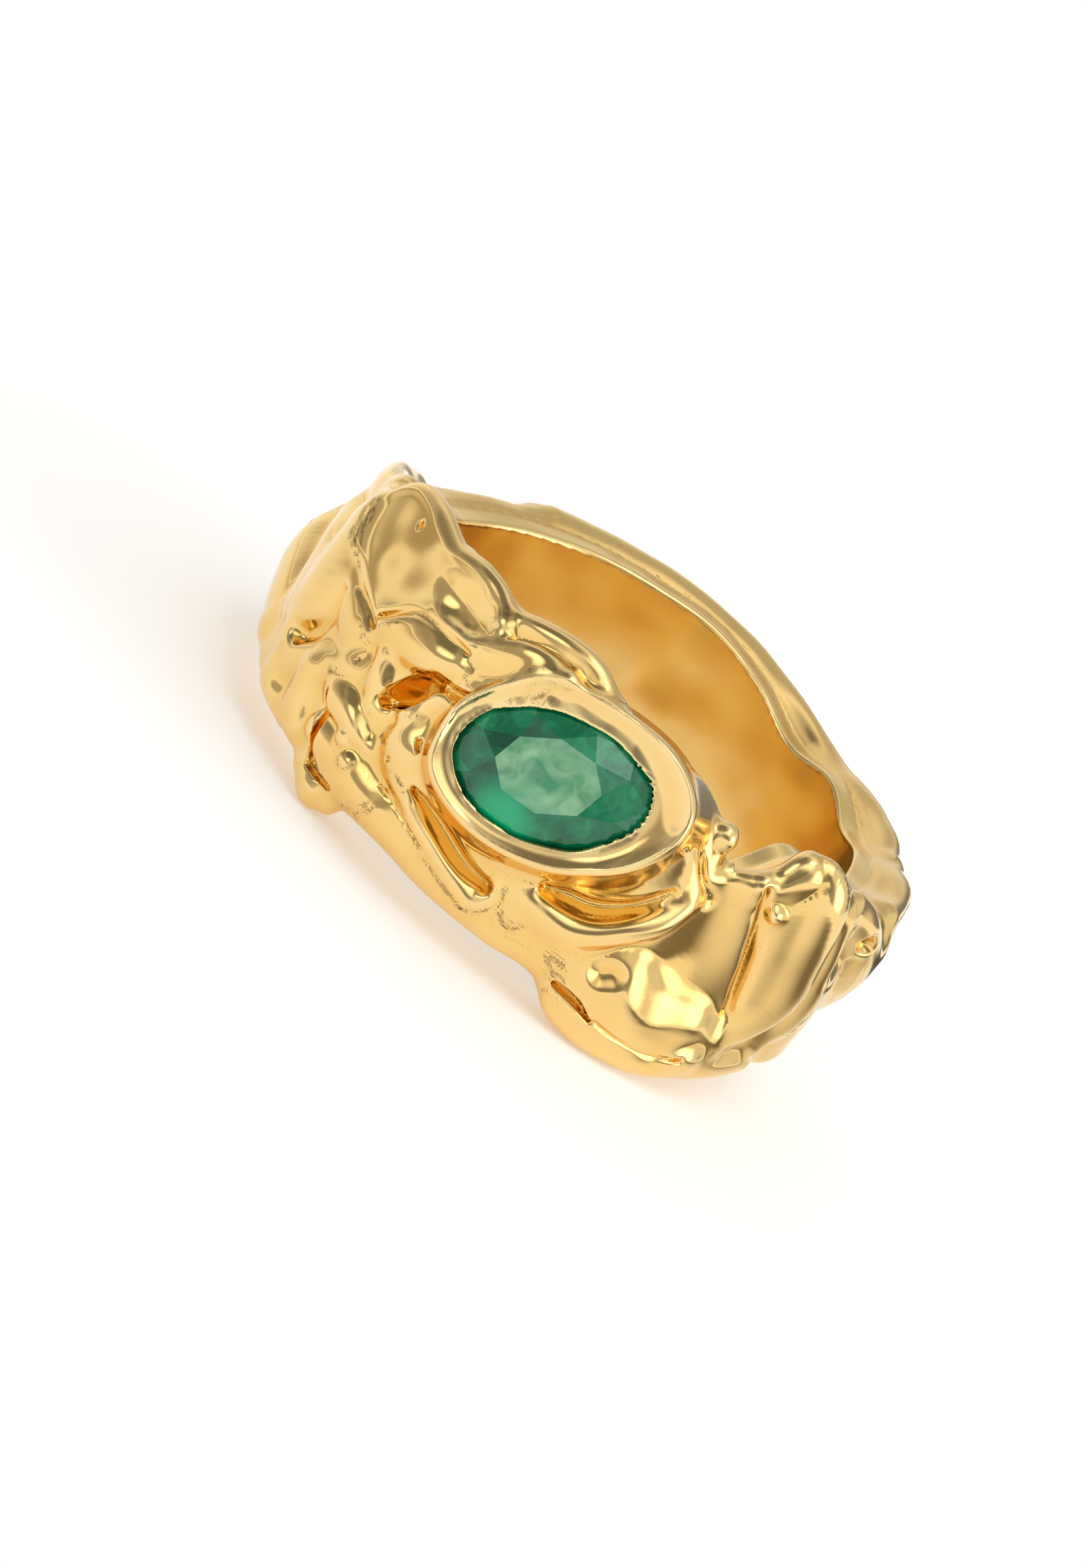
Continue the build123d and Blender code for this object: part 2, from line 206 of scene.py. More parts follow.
# %% [markdown]
# ## The lining and the band
# The lining is the smooth tube against the finger, and the band is the uneven coat of gold round
# it. Both are one loop whose rims rise and fall, so their edges are read from short lists
# round the ring and joined by a smooth periodic curve, as if cut from a strip with shears.

# %% Rim heights round the ring
top_rim = [(-180, 4.5), (-165, 4.3), (-150, 4.0), (-130, 3.4), (-110, 2.9), (-92, 3.3), (-75, 3.6),
           (-60, 4.1), (-50, 4.6), (-40, 4.6), (-30, 4.75), (-20, 4.85), (-12, 4.9), (-5, 4.6),
           (5, 4.2), (15, 3.8), (24, 3.5), (31, 2.9), (37, 2.7), (42, 3.1), (48, 4.2), (55, 4.3),
           (65, 3.9), (75, 3.6), (90, 3.5), (105, 3.7), (120, 3.5), (135, 4.0), (150, 3.6), (165, 4.2)]
low_rim = [(-180, -3.7), (-160, -3.4), (-140, -3.8), (-120, -3.4), (-105, -3.3), (-92, -2.9),
           (-80, -3.2), (-60, -3.5), (-53, -3.35), (-45, -3.6), (-36, -3.8), (-29, -3.8), (-22, -3.45),
           (-12, -3.35), (0, -3.3), (10, -3.25), (17, -3.05), (23, -3.3), (28, -3.9), (36, -4.2),
           (47, -4.1), (62, -3.6), (76, -3.0), (90, -3.1), (108, -3.6), (125, -3.3), (145, -3.8),
           (165, -3.5)]
coat = [(-180, 10.35), (-150, 10.6), (-120, 10.55), (-92, 10.7), (-75, 10.75), (-60, 10.9),
        (-40, 10.92), (-20, 10.9), (0, 10.9), (20, 10.88), (35, 10.85), (45, 10.8), (60, 10.85),
        (80, 10.88), (95, 10.8), (120, 10.5), (150, 10.55)]


def round_the_ring(places):
    rows = [(unrolled(a), v) for a, v in places]
    before = [(u - FULL_TURN, v) for u, v in rows[-2:]]
    after = [(u + FULL_TURN, v) for u, v in rows[:2]]
    line = smooth_run(before + rows + after, pieces=8)
    return np.interp(arcs, line[:, 0], line[:, 1]).astype(np.float32)[:, None, None]


def hoop(inner, outer, low, high, rounding):
    z = heights[None, :, None]
    r = radii[None, None, :]
    side = np.abs(z - (low + high) / 2) - (high - low) / 2 + rounding
    level = np.abs(r - (inner + outer) / 2) - (outer - inner) / 2 + rounding
    gap = np.sqrt(np.maximum(side, 0)**2 + np.maximum(level, 0)**2) + np.minimum(np.maximum(side, level), 0)
    return (gap - rounding).astype(np.float32)


rim_high, rim_low, coat_radius = round_the_ring(top_rim), round_the_ring(low_rim), round_the_ring(coat)
off_middle = np.abs((heights[None, :, None] - (rim_high + rim_low) / 2) / 4.6)
crown = coat_radius - 0.5 * off_middle**3
lining = hoop(BORE, SLEEVE_OUTSIDE, rim_low + 0.12, rim_high - 0.12, 0.12)
band = hoop(BAND_INSIDE, crown, rim_low, rim_high, 0.42)
shapes = {"finger_sleeve": [(every_arc, every_height, lining)],
          "molten_band": [(every_arc, every_height, band)]}
print("rims run from", round(float(rim_low.min()), 2), "to", round(float(rim_high.max()), 2), "mm")

# %% [markdown]
# ## The folds
# Wax that is dripped and pushed makes fat rounded ridges, thin curled sheets and drips. Each
# fold below is one piece of the real ring, and keeps the name it has in the frame. A fold with
# more than one run is still one piece, like a dab of wax pushed twice.

# %% Folds left of the stone
folds = {
    "leaf_sheet": [
        plate([(-66, 3.3), (-63, 4.2), (-60, 4.7), (-57, 4.95), (-51, 5.0), (-46, 4.85), (-41, 4.8),
               (-37.5, 4.95), (-33.5, 5.05), (-29, 5.05), (-24.5, 4.85), (-22, 4.2), (-22.5, 3.4),
               (-25, 3.05), (-28.5, 2.85), (-33.5, 2.35), (-37.5, 1.75), (-41, 1.4), (-47.5, 1.65),
               (-53.5, 1.95), (-61, 2.1)],
              [(-64, 3.2, 10.85), (-57, 4.7, 10.62), (-48, 4.8, 10.6), (-38, 4.8, 10.58),
               (-27, 4.8, 10.5), (-58, 3.0, 10.85), (-50, 3.3, 10.8), (-42, 3.3, 10.78),
               (-33, 3.7, 10.74), (-25, 3.8, 10.7), (-53, 2.1, 10.98), (-45, 1.8, 11.0),
               (-37, 2.2, 10.98), (-29, 3.0, 10.88)], 0.3, 0.24),
        tube([(-64.5, 3.4, 10.85, .2, .22), (-61, 4.5, 10.75, .2, .22), (-57, 4.92, 10.6, .22, .24),
              (-50, 4.98, 10.5, .22, .24), (-41, 4.8, 10.5, .2, .22), (-33.5, 5.0, 10.5, .22, .22),
              (-27, 4.95, 10.45, .2, .22), (-22.5, 4.3, 10.6, .25, .25)]),
        tube([(-33, 3.1, 10.9, .2, .15), (-29, 3.25, 11.0, .22, .2), (-24.5, 3.45, 10.95, .22, .2)])],
    "left_shoulder_fold": [
        tube([(-70, 3.8, 10.35, .5, .4), (-66, 3.2, 10.75, .6, .45), (-61, 2.0, 10.85, .7, .45),
              (-53, 1.2, 10.85, .66, .42), (-45, .6, 10.8, .62, .4), (-38, -.1, 10.7, .5, .35)]),
        tube([(-67, 2.3, 10.75, .8, .5), (-61, .5, 10.95, 1.1, .5), (-58, -1.2, 10.8, .95, .45),
              (-56, -2.4, 10.6, .8, .4)]),
        tube([(-52, -1.9, 10.65, .5, .35), (-45.5, -1.0, 10.8, .5, .35), (-40.5, -.4, 10.85, .35, .3)]),
        tube([(-56, -2.8, 10.6, .45, .35), (-52, -3.1, 10.65, .3, .3), (-46.5, -3.0, 10.5, .5, .35)]),
        tube([(-46.5, -1.4, 10.9, .3, .25), (-45, -2.4, 10.8, .42, .3), (-42, -3.0, 10.6, .4, .35)])],
    "left_rear_fold": [
        tube([(-107, 1.4, 10.65, 1.0, .5), (-98, .3, 10.9, 1.2, .7), (-92, -.6, 11.0, 1.3, .78),
              (-84, -1.4, 10.8, 1.1, .6), (-76, -2.2, 10.5, .8, .45)]),
        tube([(-98, 2.6, 10.5, .6, .4), (-88, 3.1, 10.55, .6, .35), (-78, 3.4, 10.55, .55, .4),
              (-71, 3.6, 10.35, .4, .35)]),
        tube([(-84, 1.4, 10.7, .7, .4), (-74, .6, 10.7, .7, .4), (-68, -.8, 10.7, .7, .4)])],
    "hood_fold": [
        tube([(-42, 1.0, 10.75, .45, .35), (-38, 1.5, 10.9, .6, .42), (-33, 1.95, 11.0, .72, .45),
              (-28, 2.2, 11.0, .66, .45), (-23.5, 2.5, 10.85, .45, .4)]),
        tube([(-35, .9, 11.0, .3, .3), (-33.5, .3, 11.0, .3, .28), (-31.5, -.4, 10.85, .3, .25)]),
        tube([(-24.5, .5, 10.85, .25, .3), (-22.5, 1.3, 10.9, .28, .3), (-19, 2.2, 10.85, .25, .3),
              (-17, 2.6, 10.75, .2, .25)])],
    "pillow_fold": [
        tube([(-24, 3.2, 10.9, .25, .2), (-20.5, 3.55, 10.98, .55, .3), (-16, 4.05, 10.98, .68, .34),
              (-11.5, 4.5, 10.9, .5, .3), (-8.5, 4.75, 10.8, .25, .22)]),
        tube([(-24, 4.6, 10.35, .4, .4), (-18, 5.0, 10.3, .42, .42), (-12, 5.25, 10.2, .45, .42),
              (-6, 5.25, 10.1, .42, .4), (0, 4.9, 10.1, .35, .4)]),
        tube([(-21, 2.6, 10.85, .25, .2), (-15, 3.1, 10.9, .28, .2), (-10, 3.8, 10.85, .25, .2)]),
        tube([(-13, 2.95, 11.0, .22, .2), (-12.4, 3.05, 11.0, .22, .2)]),
        tube([(-23, 4.35, 10.75, .3, .25), (-22.4, 4.2, 10.75, .3, .25)])],
    "tongue_fold": [
        tube([(-42, -.7, 10.75, .3, .3), (-38, -1.15, 10.95, .5, .34), (-34, -1.25, 11.0, .5, .35),
              (-30, -1.45, 10.92, .36, .3), (-26.5, -1.55, 10.7, .16, .2)]),
        tube([(-37, -2.4, 10.75, .45, .3), (-33, -2.5, 10.75, .6, .35), (-27.5, -2.6, 10.7, .8, .4),
              (-22, -2.6, 10.55, .6, .4)])],
    "left_drip": [
        tube([(-36, -3.6, 10.25, .5, .45), (-33, -3.75, 10.35, .55, .5), (-30.5, -3.85, 10.4, .6, .55),
              (-27.5, -3.75, 10.3, .5, .45)])],
}
print("folds left of the stone:", sum(len(runs) for runs in folds.values()), "runs")

# %% Folds under and right of the stone
folds |= {
    "twisted_ribbon": [
        tube([(-23, -1.2, 10.6, .3, .28), (-18.8, -1.4, 10.85, .28, .3), (-13, -1.75, 10.9, .24, .28),
              (-7, -2.05, 10.9, .24, .28), (0, -2.4, 10.85, .24, .28), (3.5, -2.55, 10.85, .2, .25),
              (5.4, -2.2, 10.85, .18, .22), (5.6, -1.6, 10.85, .2, .22), (4.6, -1.2, 10.8, .2, .2)]),
        tube([(-14, -1.1, 10.72, .1, .14), (-8, -1.5, 10.75, .1, .14), (-1, -1.9, 10.72, .1, .14),
              (3, -2.1, 10.7, .1, .12)])],
    "lower_lip": [
        tube([(-22, -2.9, 10.3, .5, .45), (-12, -2.75, 10.45, .6, .45), (0, -2.9, 10.45, .5, .42),
              (10, -2.55, 10.5, .75, .42), (18, -2.35, 10.5, .8, .4), (25, -2.7, 10.4, .7, .4)])],
    "under_ribbon": [
        tube([(7.5, -1.5, 10.6, .35, .35), (10.5, -1.35, 10.85, .42, .42), (14, -1.3, 11.0, .5, .46),
              (18.7, -1.2, 11.08, .5, .46), (22.8, -.75, 11.12, .48, .46), (26.7, 0, 11.1, .46, .44),
              (30.5, .7, 10.95, .42, .42), (33.5, 1.5, 10.75, .36, .4)]),
        tube([(9.4, -.5, 10.75, .3, .3), (9.0, -1.3, 10.85, .34, .32), (10.5, -2.0, 10.75, .35, .3)])],
    "belly_fold": [
        tube([(23, -2.0, 10.6, .8, .4), (30, -2.1, 10.75, 1.2, .55), (37, -2.1, 10.82, 1.35, .62),
              (44, -2.2, 10.8, 1.2, .58), (50, -2.3, 10.7, 1.0, .5), (55, -2.3, 10.6, .7, .4)]),
        tube([(25, -3.3, 10.3, .4, .45), (28, -3.75, 10.4, .42, .5), (36, -3.95, 10.5, .42, .52),
              (46, -3.85, 10.55, .45, .5), (55, -3.3, 10.6, .6, .5), (63, -3.0, 10.6, .5, .45),
              (72, -2.7, 10.55, .4, .4)]),
        tube([(51, -3.0, 10.95, .3, .26), (53, -2.95, 10.98, .3, .24)])],
    "rolled_fold": [
        tube([(48.5, 4.55, 10.35, .4, .45), (51.5, 4.5, 10.75, .6, .55), (55, 3.7, 11.05, .74, .6),
              (58.5, 1.9, 11.12, .76, .6), (61.5, .2, 11.12, .74, .58), (60.4, -1.3, 10.9, .56, .46),
              (59, -2.1, 10.6, .4, .35)]),
        tube([(47, 4.2, 10.4, .5, .4), (51, 3.3, 10.6, .75, .5), (54.5, 1.6, 10.75, .8, .5),
              (57.5, -.1, 10.72, .7, .45)]),
        tube([(58, 4.3, 10.6, .3, .35), (64, 3.0, 10.95, .28, .3), (68.5, 1.2, 11.05, .28, .3),
              (71, -.6, 10.95, .28, .28), (70, -1.9, 10.8, .25, .25)]),
        tube([(35, 2.6, 10.3, .4, .45), (40, 2.95, 10.4, .45, .45), (45.3, 3.6, 10.45, .45, .45),
              (49, 4.2, 10.5, .4, .45)])],
    "rim_granule": [
        tube([(31.4, 3.8, 9.95, .47, .47), (31.6, 3.75, 9.95, .47, .47)]),
        tube([(31.5, 3.6, 9.95, .3, .3), (31.8, 3.1, 10.1, .26, .28), (32.2, 2.5, 10.2, .4, .35)])],
    "small_granules": [
        tube([(42, 3.34, 10.6, .28, .28), (42.4, 3.34, 10.6, .28, .28)]),
        tube([(47, 2.74, 10.85, .28, .28), (47.4, 2.74, 10.85, .28, .28)]),
        tube([(36, 2.09, 10.6, .28, .28), (36.4, 2.09, 10.6, .28, .28)]),
        tube([(-31, -1.85, 11.0, .28, .26), (-30.6, -1.85, 11.0, .28, .26)]),
        tube([(-28, -2.3, 10.9, .28, .26), (-27.6, -2.3, 10.9, .28, .26)])],
    "right_rear_fold": [
        tube([(64, 3.9, 10.6, .5, .4), (70, 3.5, 10.8, .55, .4), (78, 2.6, 10.95, .6, .42),
              (88, 1.2, 10.95, .75, .44), (98, -.2, 10.7, .8, .4)]),
        tube([(72, 1.0, 10.8, .5, .4), (76, -.8, 10.8, .6, .4), (82, -2.0, 10.6, .6, .4)]),
        tube([(88, 3.3, 10.55, .4, .35), (100, 3.4, 10.5, .45, .4), (112, 3.3, 10.4, .4, .35)]),
        tube([(88, 2.4, 10.8, .42, .4), (90, 2.2, 10.85, .42, .4)])],
}
print("folds in all:", sum(len(runs) for runs in folds.values()), "runs")

# %% [markdown]
# The back of the ring is out of sight when the stone faces you. The same hand made it, so it
# has the same kind of long slanting folds, only lower, so that the neighbouring fingers are
# comfortable.

# %% Folds round the back
folds |= {
    "rear_rim_roll": [
        tube([(112, 3.3, 10.3, .4, .4), (128, 3.7, 10.3, .45, .45), (142, 3.6, 10.25, .4, .42),
              (156, 3.8, 10.3, .45, .45), (172, 4.2, 10.25, .45, .45), (188, 4.2, 10.25, .45, .45),
              (202, 3.9, 10.3, .42, .45), (218, 3.5, 10.35, .4, .45)])],
    "back_left_fold": [
        tube([(222, 2.9, 10.5, .55, .4), (214, 1.6, 10.7, .75, .42), (206, -.1, 10.75, .85, .42),
              (199, -1.8, 10.6, .7, .4)]),
        tube([(238, .6, 10.6, .5, .38), (232, -1.0, 10.75, .6, .4), (222, -2.2, 10.6, .5, .38)])],
    "back_middle_fold": [
        tube([(188, 3.0, 10.4, .5, .35), (181, 1.4, 10.6, .7, .38), (174, -.4, 10.65, .75, .38),
              (165, -2.2, 10.5, .6, .36)])],
    "back_right_fold": [
        tube([(158, 2.7, 10.5, .55, .38), (149, 1.2, 10.7, .7, .4), (140, -.6, 10.75, .8, .42),
              (130, -2.3, 10.6, .6, .4)]),
        tube([(132, 2.2, 10.5, .45, .35), (122, 1.0, 10.65, .6, .38), (113, -.8, 10.6, .6, .36)])],
    "rear_lumps": [
        tube([(97, 2.5, 10.3, .4, .35), (104, 2.66, 10.5, .75, .45), (111, 2.5, 10.3, .4, .35)]),
        tube([(115, 2.9, 10.2, .4, .35), (121, 3.04, 10.4, .7, .45), (127, 2.9, 10.2, .4, .35)]),
        tube([(132, 2.7, 10.25, .4, .35), (138, 2.81, 10.45, .7, .45), (144, 2.7, 10.25, .4, .35)]),
        tube([(149, 2.4, 10.3, .4, .35), (155, 2.51, 10.5, .7, .45), (161, 2.4, 10.3, .4, .35)])],
}
shapes |= folds
print("pieces so far:", len(shapes))

# %% [markdown]
# ## The setting
# The stone sits in a bezel: a wall of gold pushed over its edge. Seen along the stone's axis
# the wall's crest is an uneven closed line, close to the stone at the lower left and wide
# at the right, with a polished dish between crest and stone. It is worked out in the
# stone's own axes, because the stone leans back and is turned on the ring. Its girdle stands
# 2.1 mm above the middle of the band and 10.9 mm out from the finger's middle.

# %% The stone's own axes
STONE_HIGH, STONE_OUT = 2.1, 10.912
HALF_LONG, HALF_SHORT = 3.25, 2.25
LEAN, TURN = math.radians(12), math.radians(22.6)
stone_out = np.array([0, -math.cos(LEAN), math.sin(LEAN)])
stone_up = np.array([0, math.sin(LEAN), math.cos(LEAN)])
stone_long = math.cos(TURN) * np.array([1.0, 0, 0]) + math.sin(TURN) * stone_up
stone_short = np.cross(stone_out, stone_long)
stone_rows, stone_span, (su, sv) = patch(np.array([(unrolled(-33), -3.2), (unrolled(36), 6.1)]), 0.0)
turned = (su / WRAP)[..., None]
raised = np.broadcast_to((sv - STONE_HIGH)[..., None], turned.shape[:2] + radii.shape)
spot = [radii * np.sin(turned), -radii * np.cos(turned) + STONE_OUT, raised]
along_stone, across_stone, over_stone = [
    sum(float(axis[k]) * spot[k] for k in range(3)).astype(np.float32)
    for axis in (stone_long, stone_short, stone_out)]
print("stone axes cover", over_stone.shape)

# %% The crest line and the bezel's field
crest = [(-.94, -.24, .46), (-.92, .15, .52), (-.82, .5, .58), (-.46, .9, .6), (-.16, 1.07, .66),
         (.13, 1.0, .58), (.45, .92, .55), (.79, .74, .55), (1.06, .46, .6), (1.18, .12, .64),
         (1.13, -.22, .62), (.96, -.52, .6), (.67, -.79, .54), (.28, -.95, .48), (-.13, -.95, .48),
         (-.5, -.81, .46), (-.8, -.54, .46)]
crest_places = [(x * (HALF_LONG + .6), y * (HALF_SHORT + .5), high) for x, y, high in crest]
crest_line = smooth_run(crest_places, closed=True, pieces=5)
REACH, TICK = 6, 0.06  # half the width of the flat tables, and their spacing
ruler = np.arange(-REACH, REACH + 0.001, TICK, dtype=np.float32)
flat_a, flat_b = np.meshgrid(ruler, ruler, indexing="ij")
crest_gap = outline_gap(crest_line, flat_a, flat_b)
crest_height = nearest(crest_line, flat_a, flat_b)[1][0]
oval = np.sqrt((flat_a / HALF_LONG)**2 + (flat_b / HALF_SHORT)**2) + 1e-6
oval_gap = oval * (oval - 1) / (np.sqrt((flat_a / HALF_LONG**2)**2 + (flat_b / HALF_SHORT**2)**2) + 1e-6)


def looked_up(table):
    i = np.clip((along_stone + REACH) / TICK, 0, len(ruler) - 2.001)
    j = np.clip((across_stone + REACH) / TICK, 0, len(ruler) - 2.001)
    i0, j0 = i.astype(int), j.astype(int)
    fi, fj = i - i0, j - j0
    return (table[i0, j0] * (1 - fi) * (1 - fj) + table[i0 + 1, j0] * fi * (1 - fj)
            + table[i0, j0 + 1] * (1 - fi) * fj + table[i0 + 1, j0 + 1] * fi * fj).astype(np.float32)


print("crest stands", min(c[2] for c in crest), "to", max(c[2] for c in crest), "mm over the girdle")

# %% [markdown]
# The bezel is solid below the dish and inside its flaring wall. The dish rises steeply to the
# crest, the wall leans out further below the stone than above it, and the seat is a plain
# ledge under the girdle.

# %% Bezel and seat
from_crest, from_oval, crest_level = looked_up(crest_gap), looked_up(oval_gap), looked_up(crest_height)
share = np.clip(from_oval / np.maximum(from_oval - from_crest, 0.05), 0, 1)
bowl = 0.3 - 0.12 * np.clip((along_stone - 2.2) / 1.0, 0, 1)
dish = bowl + (crest_level + 0.1 - bowl) * share**2.4
depth = np.maximum(crest_level - over_stone, 0)
flare = np.clip(0.55 - 0.3 * across_stone, 0.05, 1.2)
wall = (from_crest - 0.14 - flare * (0.18 * depth + 0.12 * depth**2)) * 0.9
bezel = carve(wall, (over_stone - dish - np.maximum(from_crest, 0) * 0.2) * 0.86, 0.42)
foot = -(over_stone + 2.4)
bezel = np.maximum(np.maximum(bezel, foot), -0.2 - from_oval)
seat = np.maximum(np.maximum(from_oval + 0.1, over_stone + 0.35), -(over_stone + 1.3))
shapes["bezel_wall"] = [
    (stone_rows, stone_span, bezel.astype(np.float32)),
    tube([(-24, .2, 10.8, .5, .36), (-21, -.55, 10.95, .65, .4), (-17, -1.0, 10.9, .5, .36)])]
shapes["bezel_seat"] = [(stone_rows, stone_span, seat.astype(np.float32))]
print("bezel and seat drawn, dish from", round(float(bowl.min()), 2), "to", round(float(bowl.max()), 2), "mm")

# %% [markdown]
# ## Melting the pieces together
# Cast gold has no seams, so the outside has to run smoothly from piece to piece, yet each piece
# stays its own closed solid. Both come from one trick: a shared skin is melted from all
# pieces, and each piece then keeps the part of the skin that is nearest to it. Neighbours
# reach a little under each other, so no gap shows.

# %% The shared skin
softness = {"finger_sleeve": .05, "molten_band": .08, "leaf_sheet": .32, "left_shoulder_fold": .5,
            "left_rear_fold": .8, "hood_fold": .4, "pillow_fold": .35, "tongue_fold": .3,
            "left_drip": .4, "twisted_ribbon": .3, "lower_lip": .8, "under_ribbon": .5,
            "belly_fold": .6, "rolled_fold": .5, "rim_granule": .2, "small_granules": .2,
            "right_rear_fold": .7, "rear_rim_roll": .6, "back_left_fold": .9, "back_middle_fold": .9,
            "back_right_fold": .9, "rear_lumps": .9, "bezel_wall": .45, "bezel_seat": .02}
skin = np.full(size, FAR, dtype=np.float32)
nearest_gap, next_gap = skin.copy(), skin.copy()
owner = np.full(size, -1, dtype=np.int8)
names = list(shapes)
for number, name in enumerate(names):
    for rows, span, field in shapes[name]:
        skin[rows, span] = melt(skin[rows, span], field, softness[name])
    for rows, span, field in shapes[name]:
        mine, second = nearest_gap[rows, span], next_gap[rows, span]
        other = owner[rows, span] != number
        better = field < mine
        second = np.where(better & other, mine, np.where(~better & other, np.minimum(second, field), second))
        next_gap[rows, span] = second
        nearest_gap[rows, span] = np.where(better, field, mine)
        owner[rows, span] = np.where(better, number, owner[rows, span])
print("skin melted from", len(names), "pieces")

# %% [markdown]
# Chisel marks, pits and the deep hollows between folds are carved out of the shared skin last,
# with softly rounded edges, as a ball burr would leave them. Each row below has the softness of
# its edge and the stations of the burr's path, written as for the folds.

# %% Hollows, creases and pits
hollows = [
    (.25, [(-29.6, 0, 11.2, .28, .8), (-28.3, .5, 11.1, .5, 1.7), (-26.8, 1.0, 11.1, .46, 1.6),
           (-24.8, 1.6, 11.1, .22, .7)]),
    (.18, [(-23, 1.75, 11.15, .14, .4), (-20, 1.9, 11.2, .2, .6), (-16.5, 2.3, 11.1, .16, .45)]),
    (.25, [(-52.6, .95, 11.45, .14, .4), (-52, .2, 11.5, .24, .7), (-53, -.6, 11.5, .4, .9),
           (-55.4, -1.15, 11.4, .4, .75)]),
    (.3, [(-35.4, 4.05, 11.5, .5, .5), (-31.5, 4.0, 11.5, .72, .74), (-27.4, 3.95, 11.45, .6, .68)]),
    (.05, [(-50.3, 4.3, 11.1, .1, .35), (-49.8, 4.25, 11.1, .1, .35)]),
    (.22, [(-49, 1.5, 11.5, .1, .3), (-45, 1.4, 11.5, .1, .4), (-41.5, 1.2, 11.45, .16, .5)]),
    (.16, [(-41, 1.6, 11.4, .1, .35), (-36, 2.6, 11.6, .08, .38), (-29, 2.95, 11.6, .08, .36),
           (-23.5, 3.05, 11.4, .1, .4)]),
    (.06, [(-38.8, .1, 11.3, .1, .26), (-37.6, .7, 11.35, .12, .3), (-36.4, .3, 11.35, .1, .26)]),
    (.06, [(-39.5, -1.3, 11.2, .1, .5), (-37.3, -1.95, 11.2, .14, .6), (-35.7, -2.9, 11.0, .14, .6),
           (-34, -3.3, 10.9, .1, .4)]),
    (.05, [(-34, -3.4, 10.9, .09, .35), (-27.6, -3.35, 10.95, .09, .35)]),
    (.2, [(-27.5, -1.0, 11.3, .3, .5), (-26.7, -.3, 11.35, .34, .62)]),
    (.05, [(-22, -1.2, 11.35, .09, .35), (-21.6, -1.1, 11.35, .09, .35)]),
    (.05, [(-19.6, 0, 11.4, .12, .38), (-18.6, -.2, 11.4, .1, .35)]),
    (.16, [(-15, -1.2, 11.3, .12, .5), (-8, -1.5, 11.3, .26, .7), (-1, -1.85, 11.3, .3, .75),
           (4.0, -1.9, 11.25, .24, .75)]),
    (.04, [(-20.5, -2.0, 11.0, .05, .25), (-14, -2.15, 11.2, .06, .3), (-8, -2.4, 11.2, .05, .3)]),
    (.22, [(11.5, -.7, 11.3, .18, .6), (15, -.5, 11.4, .3, .85), (20, -.2, 11.45, .3, .85),
           (25, .6, 11.4, .24, .7), (28.5, 1.6, 11.2, .16, .45)]),
    (.15, [(28.2, 3.3, 11.1, .14, .6), (29.6, 2.9, 11.1, .16, .7), (32, 2.4, 11.0, .14, .5),
           (36, 2.0, 10.9, .1, .3)]),
    (.05, [(24.1, 3.1, 11.55, .13, .35), (24.8, 3.0, 11.5, .13, .35)]),
    (.7, [(36, 2.9, 11.4, .5, .8), (38, 1.8, 11.6, .9, 1.1), (40, .3, 11.8, 1.25, 1.3),
          (42, -1.0, 12.1, 1.35, 1.35), (43.5, -2.4, 12.6, 1.3, 1.35)]),
    (.26, [(42.5, 3.3, 11.0, .12, .4), (45.5, 2.4, 11.15, .15, .6), (49.5, 1.1, 11.2, .16, .7),
           (53, -.2, 11.2, .13, .6), (55.2, -1.0, 11.15, .08, .45)]),
    (.06, [(60, 3.5, 11.55, .1, .4), (65, 1.5, 11.6, .12, .5), (67, -.4, 11.5, .12, .45)]),
    (.2, [(28.0, -1.75, 11.6, .5, .55), (29.2, -1.55, 11.6, .5, .55)]),
    (.06, [(23.5, -2.95, 11.0, .14, .5), (28, -3.05, 11.1, .16, .5), (32.5, -3.35, 11.0, .06, .3)]),
    (.14, [(33, -3.25, 11.2, .05, .2), (38, -3.35, 11.25, .06, .22), (46.6, -3.3, 11.3, .06, .22),
           (51.5, -2.95, 11.3, .05, .2)]),
    (.2, [(75, 2.0, 11.5, .35, .5), (77, 1.4, 11.5, .35, .5)]),
    (.2, [(72.5, 3.0, 11.3, .3, .4), (74, 2.8, 11.3, .3, .4)]),
    (.06, [(-94, -1.6, 11.85, .08, .3), (-90.5, -1.4, 11.95, .08, .3)]),
    (.05, [(-92, 0, 11.9, .07, .3), (-91.5, .1, 11.9, .07, .3)])]
for soft, stations in hollows:
    rows, span, field = tube(stations)
    skin[rows, span] = carve(skin[rows, span], -field, soft)
print("carved", len(hollows), "hollows, creases and pits")

# %% [markdown]
# The stone needs a pocket of its own shape, a little wider all round: a cone of 34 degrees
# over the girdle and one of 39 degrees under it. An oval hole behind the point lets light in.

# %% Pocket and light hole
GIRDLE_HALF = 0.07
CROWN_SLOPE, PAVILION_SLOPE = math.tan(math.radians(34)), math.tan(math.radians(39))
above_girdle = from_oval + np.maximum(over_stone - GIRDLE_HALF, 0) / CROWN_SLOPE
below_girdle = from_oval + np.maximum(-over_stone - GIRDLE_HALF, 0) / PAVILION_SLOPE
cone = np.where(over_stone > 0, above_girdle, below_girdle) * 0.6
pocket = np.maximum(cone, over_stone - 1.2)
hole_oval = np.sqrt((along_stone / 2.0)**2 + (across_stone / 1.4)**2)
hole = np.maximum((hole_oval - 1) * 1.4, over_stone + 0.3)
with_pocket = np.maximum(skin[stone_rows, stone_span], 0.05 - pocket)
skin[stone_rows, stone_span] = carve(with_pocket, -hole.astype(np.float32), 0.12)
print("pocket and hole cut, skin spans", round(float(skin.min()), 2), "to", round(float(skin.max()), 2))

# %% [markdown]
# Hand-polished castings are never quite even. A few long waves, from a fixed list, move the
# outside by some hundredths of a millimetre, which is enough for the reflections to wander.

